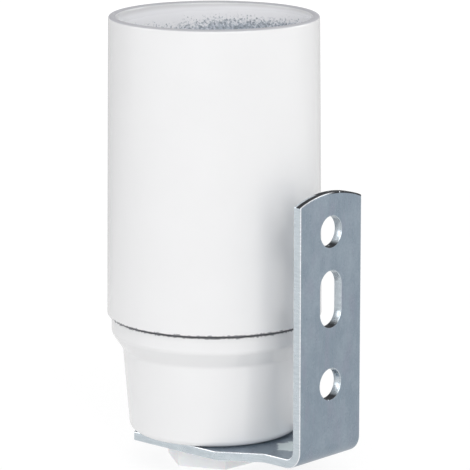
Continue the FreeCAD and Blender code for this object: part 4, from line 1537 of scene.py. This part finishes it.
@dataclass
class Insert(SubAssembly):
    """Porcelain disc with the brass lamp thread, the contacts and the terminals."""

    skirt_bottom: float = 15.5
    skirt_radius: float = 9.6
    register: float = 22.0
    register_radius: float = 11.97
    spigot_top: float = 26.0
    flange_top: float = 27.6
    flange_radius: float = 12.85
    boss_top: float = 28.0
    pocket_roof: float = 22.0
    pocket_start: float = 3.2
    pocket_half: float = 2.9
    well: float = 1.6
    circle: float = 5.6
    rivet_bore: float = 0.85
    rivet_shank: float = 0.8
    rivet_head: float = 1.1
    rivet_height: float = 0.4
    shell_top: float = 45.16
    shell_sheet: float = 0.35
    shell_eye: float = 4.2
    minor: float = 6.185
    major: float = 6.985
    lamp_pitch: float = 2.822
    lamp_fade: float = 0.35
    ring_top: float = 46.61
    ring_outer: float = 12.3
    ring_wall: float = 0.9
    web: float = 1.2
    collar_depth: float = 6.0
    groove: tuple[float, float] = (10.9, 8.3)
    groove_slope: float = 0.3
    groove_depth: float = 0.25
    ledge: float = 28.8
    strip_sheet: float = 0.35
    strip_bend: float = 0.8
    strip_back: float = -2.0
    strip_half: float = 1.6
    strip_top: float = 30.3
    button_radius: float = 1.2
    button_stem: float = 0.5
    button_height: float = 0.8
    terminal_start: float = 3.5
    terminal_end: float = 7.7
    terminal_half: float = 2.6
    terminal_height: float = 5.8
    clamp_level: float = 18.35

    def press_disc(self) -> Workpiece:
        """Turn the porcelain disc and cut its pockets and holes.

        Returns:
            The disc.
        """
        outer, core = self.major + self.shell_sheet, self.rivet_bore
        section = [
            Corner(core, self.skirt_bottom),
            Corner(self.skirt_radius, self.skirt_bottom, 0.4),
            Corner(self.skirt_radius, self.register, 0.4),
            Corner(self.register_radius, self.register, 0.4),
            Corner(self.register_radius, self.spigot_top),
            Corner(self.flange_radius, self.spigot_top, 0.25),
            Corner(self.flange_radius, self.flange_top, 0.35),
            Corner(outer, self.flange_top),
            Corner(outer, self.boss_top, 0.15),
            Corner(core, self.boss_top),
        ]
        disc = Workpiece.drawn("insert_body", section).turn()
        bottom, roof = self.skirt_bottom - 1, self.pocket_roof
        near, far, half = self.pocket_start, self.skirt_radius * 1.5, self.pocket_half
        pockets = [
            Workpiece.block("pocket", (near, -half, bottom), (far, half, roof)),
            Workpiece.block("pocket", (-far, -half, bottom), (-near, half, roof)),
            Workpiece.block("tongue_slot", (-2.0, -1.9, bottom), (3.5, 1.9, roof)),
        ]
        drills = [
            Workpiece.rod("drill", core, (x, y, bottom), (x, y, self.boss_top + 1), sides=32)
            for x, y in ((-self.circle, 0), (0, self.circle))
        ]
        well = Workpiece.rod(
            "well", self.well, (0, self.circle, bottom), (0, self.circle, roof), sides=32
        )
        disc.shape_with(Join.CUT, *pockets, *drills, well)
        return disc.soften(0.16, segments=2, angle=50)

    def spin_shell(self) -> Workpiece:
        """Spin the brass cup, roll the lamp thread in its wall and pierce its floor.

        Returns:
            The thread shell.
        """
        floor = self.boss_top + self.shell_sheet
        low, high = floor + 0.95, self.shell_top - 1.05
        cup = Workpiece.drawn(
            "thread_shell",
            [Corner(self.shell_eye, floor), Corner(self.major, floor, 0.45), Corner(self.major, low)],
            closed=False,
        ).turn()
        lip = Workpiece.drawn(
            "lip", [Corner(self.major, high), Corner(self.major, self.shell_top)], closed=False
        ).turn()
        first, last = low + self.lamp_fade, high - self.lamp_fade
        thread = Thread(self.major, self.minor, self.lamp_pitch, first, last)
        cup.take_in(lip, thread.wind("wall"))
        cup.bridge(low, first)
        cup.bridge(last, high)
        cup.weld()
        self.face_inwards(cup)
        cup.modify("SOLIDIFY", thickness=self.shell_sheet * MM, offset=-1.0, use_even_offset=True)
        drills = [
            Workpiece.rod("drill", self.rivet_bore, (x, y, self.boss_top - 1), (x, y, floor + 1), sides=32)
            for x, y in ((-self.circle, 0), (0, self.circle))
        ]
        return cup.shape_with(Join.CUT, *drills)

    @staticmethod
    def face_inwards(cup: Workpiece) -> None:
        """Turn the faces of an open cup towards its axis, so that its wall grows outwards.

        Args:
            cup: the cup, one sheet thin.
        """
        cup.edit()
        mesh = bmesh.from_edit_mesh(cup.obj.data)
        tally = sum(face.normal.dot(Vector((*face.calc_center_median().xy, 0))) for face in mesh.faces)
        if tally > 0:
            bpy.ops.mesh.flip_normals()

    def mould_ring(self) -> Workpiece:
        """Turn the insulating ring.

        Returns:
            The ring.
        """
        web, inner = self.ring_top - self.web, self.ring_outer - self.ring_wall
        collar, low = self.major + self.shell_sheet + 0.25, self.ring_top - self.collar_depth
        (outside, inside), slope = self.groove, self.groove_slope
        floor = self.ring_top - self.groove_depth
        section = [
            Corner(inner, self.flange_top),
            Corner(self.flange_radius, self.flange_top, 0.1),
            Corner(self.flange_radius, self.ledge, 0.15),
            Corner(self.ring_outer, self.ledge),
            Corner(self.ring_outer, self.ring_top, 0.45),
            Corner(outside, self.ring_top, 0.15),
            Corner(outside - slope, floor, 0.15),
            Corner(inside + slope, floor, 0.15),
            Corner(inside, self.ring_top, 0.15),
            Corner(self.major - 0.3, self.ring_top, 0.4),
            Corner(self.major - 0.3, web),
            Corner(collar, web),
            Corner(collar, low, 0.2),
            Corner(collar + self.ring_wall, low, 0.2),
            Corner(collar + self.ring_wall, web, 0.3),
            Corner(inner, web, 0.3),
        ]
        return Workpiece.drawn("insulating_ring", section).turn()

    def fold_contact(self) -> Workpiece:
        """Fold the spring strip and pierce it for its rivet and its button.

        Returns:
            The centre contact.
        """
        low, sheet, back = self.boss_top, self.strip_sheet, self.strip_back
        centre, upper = low + sheet + self.strip_bend, self.strip_top - sheet
        section = [
            Corner(back, low),
            Corner(2.4, low),
            Corner(2.4, low + sheet),
            Corner(back, low + sheet),
            Sweep(back, centre, -180, steps=10),
            Corner(1.6, upper),
            Corner(1.6, self.strip_top),
            Corner(back, self.strip_top),
            Sweep(back, centre, 180, steps=14),
        ]
        strip = Workpiece.drawn("centre_contact", section, Plane.FRONT, -self.strip_half)
        strip.extrude(Plane.FRONT, self.strip_half * 2)
        holes = [
            Workpiece.rod("drill", self.rivet_bore, (0, 0, low - 1), (0, 0, low + sheet + 0.2), sides=32),
            Workpiece.rod("drill", 0.52, (0, 0, upper - 0.2), (0, 0, self.strip_top + 1), sides=32),
        ]
        return strip.shape_with(Join.CUT, *holes).soften(0.05, segments=2, angle=50)

    def turn_button(self) -> Workpiece:
        """Turn the contact button with its domed face and its stem.

        Returns:
            The button.
        """
        end, seat, top = self.strip_top - 0.55, self.strip_top, self.strip_top + self.button_height
        section = [
            Corner(0, end),
            Corner(self.button_stem, end, 0.08),
            Corner(self.button_stem, seat),
            Corner(self.button_radius, seat, 0.1),
            Corner(self.button_radius, top - 0.12, 0.35),
            Corner(0, top),
        ]
        return Workpiece.drawn("contact_button", section, closed=False).turn(48)

    def turn_rivet(
        self, name: str, place: tuple[float, float], low: float, high: float, footed: bool
    ) -> Workpiece:
        """Turn one rivet with its domed head.

        Args:
            name: name of the piece.
            place: its axis in mm.
            low: where its shank or foot begins.
            high: where its head seats.
            footed: whether it has a second head below.

        Returns:
            The rivet.
        """
        shank, head, height = self.rivet_shank, self.rivet_head, self.rivet_height
        foot = [Corner(0, low)]
        if footed:
            foot = [Corner(0, low - height), Corner(head, low - height, 0.3), Corner(head, low)]
        section = [
            *foot,
            Corner(shank, low),
            Corner(shank, high),
            Corner(head, high),
            Corner(head, high + 0.3, 0.28),
            Corner(0, high + height),
        ]
        return Workpiece.drawn(name, section, closed=False).turn(40).place((0, 0, 0), (*place, 0))

    def mill_terminal(self, name: str, side: int) -> Workpiece:
        """Mill a terminal block with its wire hole, screw hole and rivet hole.

        Args:
            name: name of the piece.
            side: 1 towards the wall, -1 away from it.

        Returns:
            The terminal.
        """
        low, roof, half = self.pocket_roof - self.terminal_height, self.pocket_roof, self.terminal_half
        ends = sorted((self.terminal_start * side, self.terminal_end * side))
        block = Workpiece.block(name, (ends[0], -half, low), (ends[1], half, roof))
        middle, level = self.circle * side, self.clamp_level
        drill = 0.0 if side > 0 else middle
        if side > 0:
            tongue = Workpiece.block("tongue", (-1.5, -1.6, roof - 0.8), (middle, 1.6, roof))
            block.shape_with(Join.ADD, tongue)
        block.soften(0.18, segments=2, angle=50)
        reach = sorted((middle, 9.0 * side))
        tools = [
            Workpiece.rod("drill", self.rivet_bore, (drill, 0, roof - 1.5), (drill, 0, roof + 1), sides=32),
            Workpiece.rod("drill", 1.25, (middle, 0, low - 1), (middle, 0, roof - 1.5), sides=40),
            Workpiece.rod("drill", 1.3, (reach[0], 0, level), (reach[1], 0, level), sides=40),
        ]
        return block.shape_with(Join.CUT, *tools)

    def build(self) -> None:
        """Make and dress the insert's pieces."""
        self.seat(self.press_disc(), "porcelain", PORCELAIN)
        self.seat(self.spin_shell(), "brass", BRASS)
        self.seat(self.mould_ring(), "white_liner", WHITE_LINER)
        low, high = self.boss_top + self.strip_sheet, self.strip_top - self.strip_sheet
        flex = Flex("contact_button", low, high)
        self.seat(self.fold_contact(), "spring_bronze", SPRING_BRONZE, flex=flex)
        self.seat(self.turn_button(), "brass", BRASS, body="contact_button")
        floor, roof = self.boss_top + self.shell_sheet, self.pocket_roof
        rivets = [
            ("rivet_centre", (0.0, 0.0), roof - 0.8, floor, True),
            ("rivet_neutral", (-self.circle, 0.0), roof - 1.45, floor, False),
            ("rivet_shell", (0.0, self.circle), roof, floor, True),
        ]
        for rivet in rivets:
            self.seat(self.turn_rivet(*rivet), "brass", BRASS)
        self.seat(self.mill_terminal("terminal_live", 1), "brass", BRASS)
        self.seat(self.mill_terminal("terminal_neutral", -1), "brass", BRASS)


@dataclass
class Screws(SubAssembly):
    """Slotted cheese-head screws of the two terminals and of the earth lug."""

    radius: float = 1.25
    head_radius: float = 1.9
    head_height: float = 1.5
    slot_depth: float = 0.8
    slot_half: float = 0.3
    pitch: float = 0.45
    thread_depth: float = 0.22
    short: float = 1.4
    long: float = 2.8
    terminal_seat: Spot = (7.7, 0.0, 18.35)
    lug_seat: Spot = (0.0, 8.05, 8.4)

    def turn_screw(self, name: str, length: float) -> Workpiece:
        """Turn a screw that points up, with its seat at the origin.

        Args:
            name: name of the piece.
            length: length under the head in mm.

        Returns:
            The screw.
        """
        root = self.radius - self.thread_depth
        middle = (root + self.radius) / 2
        low, high = -length + 0.2, -0.15
        tip = [Corner(0, -length), Corner(root - 0.1, -length), Corner(middle, low)]
        head = [
            Corner(middle, high),
            Corner(root, 0),
            Corner(self.head_radius, 0, 0.08),
            Corner(self.head_radius, self.head_height, 0.3),
            Corner(0, self.head_height),
        ]
        screw = Workpiece.drawn(name, head, closed=False).turn(40)
        screw.take_in(Workpiece.drawn("tip", tip, closed=False).turn(40))
        first, last = low + 0.05, high - 0.05
        thread = Thread(root, self.radius, self.pitch, first, last, ThreadForm.CUT, steps=40)
        thread.fit(screw, low, high)
        far, bottom = self.head_radius * 1.5, self.head_height - self.slot_depth
        half, top = self.slot_half, self.head_height + 1
        driver = Workpiece.block("driver", (-far, -half, bottom), (far, half, top))
        return screw.shape_with(Join.CUT, driver)

    def build(self) -> None:
        """Turn, place and dress the three screws."""
        live = self.turn_screw("screw_live", self.short)
        neutral = live.copy("screw_neutral")
        earth = self.turn_screw("screw_earth", self.long)
        reach, _, level = self.terminal_seat
        live.place((0, 90, 0), (reach, 0, level))
        neutral.place((0, -90, 0), (-reach, 0, level))
        earth.place((0, 0, 35), self.lug_seat)
        self.seat(live, "nickel_plate", NICKEL_PLATE, body="live_screw")
        self.seat(neutral, "nickel_plate", NICKEL_PLATE, body="neutral_screw")
        self.seat(earth, "nickel_plate", NICKEL_PLATE, body="earth_screw")


# Studio


@dataclass(frozen=True)
class SoftBox:
    """Square soft light, placed by the direction it shines from."""

    name: str
    azimuth: float
    elevation: float
    distance: float
    side: float
    power: float
    colour: Colour = (1.0, 1.0, 1.0)

    def hang(self, target: Vector) -> None:
        """Hang the light so that it faces a point.

        Args:
            target: the point in metres.
        """
        turn, rise = math.radians(self.azimuth), math.radians(self.elevation)
        way = Vector((math.sin(turn) * math.cos(rise), -math.cos(turn) * math.cos(rise), math.sin(rise)))
        data = bpy.data.lights.new(self.name, "AREA")
        data.shape = "SQUARE"
        data.size = self.side
        data.energy = self.power
        data.color = self.colour
        lamp = bpy.data.objects.new(self.name, data)
        bpy.context.scene.collection.objects.link(lamp)
        lamp.location = target + way * self.distance
        lamp.rotation_euler = (-way).to_track_quat("-Z", "Y").to_euler()


@dataclass(frozen=True)
class Studio:
    """White floor, pale surroundings, soft lights and the camera at the photograph's angle."""

    centre: Spot = (0.0, 0.0, 32.3)
    camera: Spot = (273.9, -300.5, 116.95)
    focal: float = 3197.0
    frame_side: float = 470.0
    aim_shift: tuple[float, float] = (20.6, 17.9)
    ambient: float = 0.52
    mirrored: float = 0.93
    mirrored_rear: float = 0.60
    dark_hall: float = 0.40
    floor_side: float = 6.0
    floor_drop: float = 0.0002
    floor_glow: float = 1.08
    floor_share: float = 0.78
    floor_fade: tuple[float, float] = (120.0, 450.0)
    # Floor glow close to the object for the light it bounces: painted light on the object's underside.
    near_glow_share: float = 0.4
    near_glow_fade: tuple[float, float] = (12.0, 40.0)

    def fill_world(self) -> None:
        """Light the object evenly, and show white behind it and in its reflections.

        The reflections also show the darker hall above the white backdrop.
        """
        recipe = WorldRecipe("studio")
        path = recipe.node("ShaderNodeLightPath").outputs
        way = recipe.node("ShaderNodeSeparateXYZ")
        recipe.plug(way, 0, recipe.node("ShaderNodeTexCoord").outputs["Generated"])
        rear = recipe.ramp(way.outputs["Y"], -0.2, 0.3)
        band = recipe.math("MULTIPLY", recipe.ramp(way.outputs["Z"], 0.15, 0.35), rear)
        hall = recipe.math("MULTIPLY", band, recipe.ramp(way.outputs["Z"], 0.62, 0.8, 1.0, 0.0))
        mirrored = recipe.blend_value(hall, self.mirrored, self.dark_hall)
        seen = recipe.math("MAXIMUM", path["Is Glossy Ray"], path["Is Transmission Ray"])
        level = recipe.blend_value(seen, self.ambient, mirrored)
        recipe.plug(recipe.shader, "Strength", recipe.blend_value(path["Is Camera Ray"], level, 1.0))
        recipe.plug(recipe.shader, "Color", (1.0, 1.0, 1.0, 1.0))

    def lay_floor(self) -> None:
        """Lay the white floor, which keeps a faint shadow; close to the object it also glows, painted light
        on the object's underside.
        """
        Workpiece.clear_bench()
        bpy.ops.mesh.primitive_plane_add(size=self.floor_side, location=(0, 0, -self.floor_drop))
        floor = bpy.context.object
        floor.name = "floor"
        recipe = Recipe("floor_white")
        recipe.set(Base_Color=(0.9, 0.9, 0.9), Roughness=1.0, Specular_IOR_Level=0.0)
        path = recipe.node("ShaderNodeLightPath").outputs
        seen = recipe.math("MAXIMUM", path["Is Glossy Ray"], path["Is Transmission Ray"])
        glow = recipe.node("ShaderNodeEmission")
        away = recipe.math("SUBTRACT", recipe.height("Y"), recipe.height("X"))
        rear = recipe.ramp(away, 30.0, 220.0, self.mirrored, self.mirrored_rear)
        recipe.plug(glow, "Strength", recipe.blend_value(seen, self.floor_glow, rear))
        mix = recipe.node("ShaderNodeMixShader")
        reach = recipe.distance((0.0, 0.0, 0.0))
        whiter = recipe.ramp(reach, *self.floor_fade, self.floor_share, 1.0)
        share = recipe.math("MULTIPLY", recipe.math("MAXIMUM", path["Is Camera Ray"], seen), whiter)
        # Painted light: close to the object the floor also glows for the rays that light the object,
        # brightening the nipple and the foot from below.
        near = recipe.ramp(reach, *self.near_glow_fade, self.near_glow_share, 0.0)
        share = recipe.math("MAXIMUM", share, near)
        recipe.plug(mix, 0, share)
        recipe.plug(mix, 1, recipe.shader.outputs["BSDF"])
        recipe.plug(mix, 2, glow.outputs["Emission"])
        recipe.plug(recipe.tree.nodes["Material Output"], "Surface", mix.outputs["Shader"])
        floor.data.materials.append(recipe.material)

    def set_camera(self) -> None:
        """Stand the camera where the photograph was taken from."""
        data = bpy.data.cameras.new("camera")
        data.sensor_width = 36.0
        data.lens = self.focal / self.frame_side * data.sensor_width
        data.clip_start = 0.01
        data.clip_end = 20.0
        camera = bpy.data.objects.new("camera", data)
        bpy.context.scene.collection.objects.link(camera)
        place, target = Vector(self.camera) * MM, Vector(self.centre) * MM
        ahead = (target - place).normalized()
        right = ahead.cross(Vector((0, 0, 1))).normalized()
        up = right.cross(ahead)
        look = ahead * self.focal + right * self.aim_shift[0] - up * self.aim_shift[1]
        camera.location = place
        camera.rotation_euler = look.to_track_quat("-Z", "Y").to_euler()
        bpy.context.scene.camera = camera

    def build(self) -> None:
        """Set up the whole studio."""
        scene = bpy.context.scene
        scene.view_settings.view_transform = "Standard"
        self.fill_world()
        self.lay_floor()
        target = Vector(self.centre) * MM
        for box in (
            SoftBox("high_box", 45.0, 46.0, 1.2, 0.6, 2.3),
            SoftBox("left_box", -40.0, 18.0, 1.2, 0.8, 3.1, (0.98, 0.985, 1.0)),
            SoftBox("right_box", 70.0, 18.0, 1.2, 0.7, 3.3),
            SoftBox("rim_box", 149.0, 15.0, 1.2, 0.6, 3.0),
            SoftBox("low_box", 36.0, 4.0, 1.2, 0.6, 2.9),
            SoftBox("rear_box", 225.0, 28.0, 1.2, 0.8, 2.2),
        ):
            box.hang(target)
        self.set_camera()


def main() -> None:
    """Build every sub-assembly, then the studio."""
    logging.basicConfig(level=logging.INFO, format="%(name)s: %(message)s")
    assemblies: list[SubAssembly] = [
        Bracket("bracket"),
        Nipple("nipple"),
        HolderCap("holder"),
        Sleeve("sleeve"),
        Insert("insert"),
        Screws("insert"),
    ]
    for assembly in assemblies:
        assembly.build()
        LOG.info("built %s", type(assembly).__name__)
    Workpiece.clear_bench()
    Studio().build()


if __name__ == "__main__":
    main()
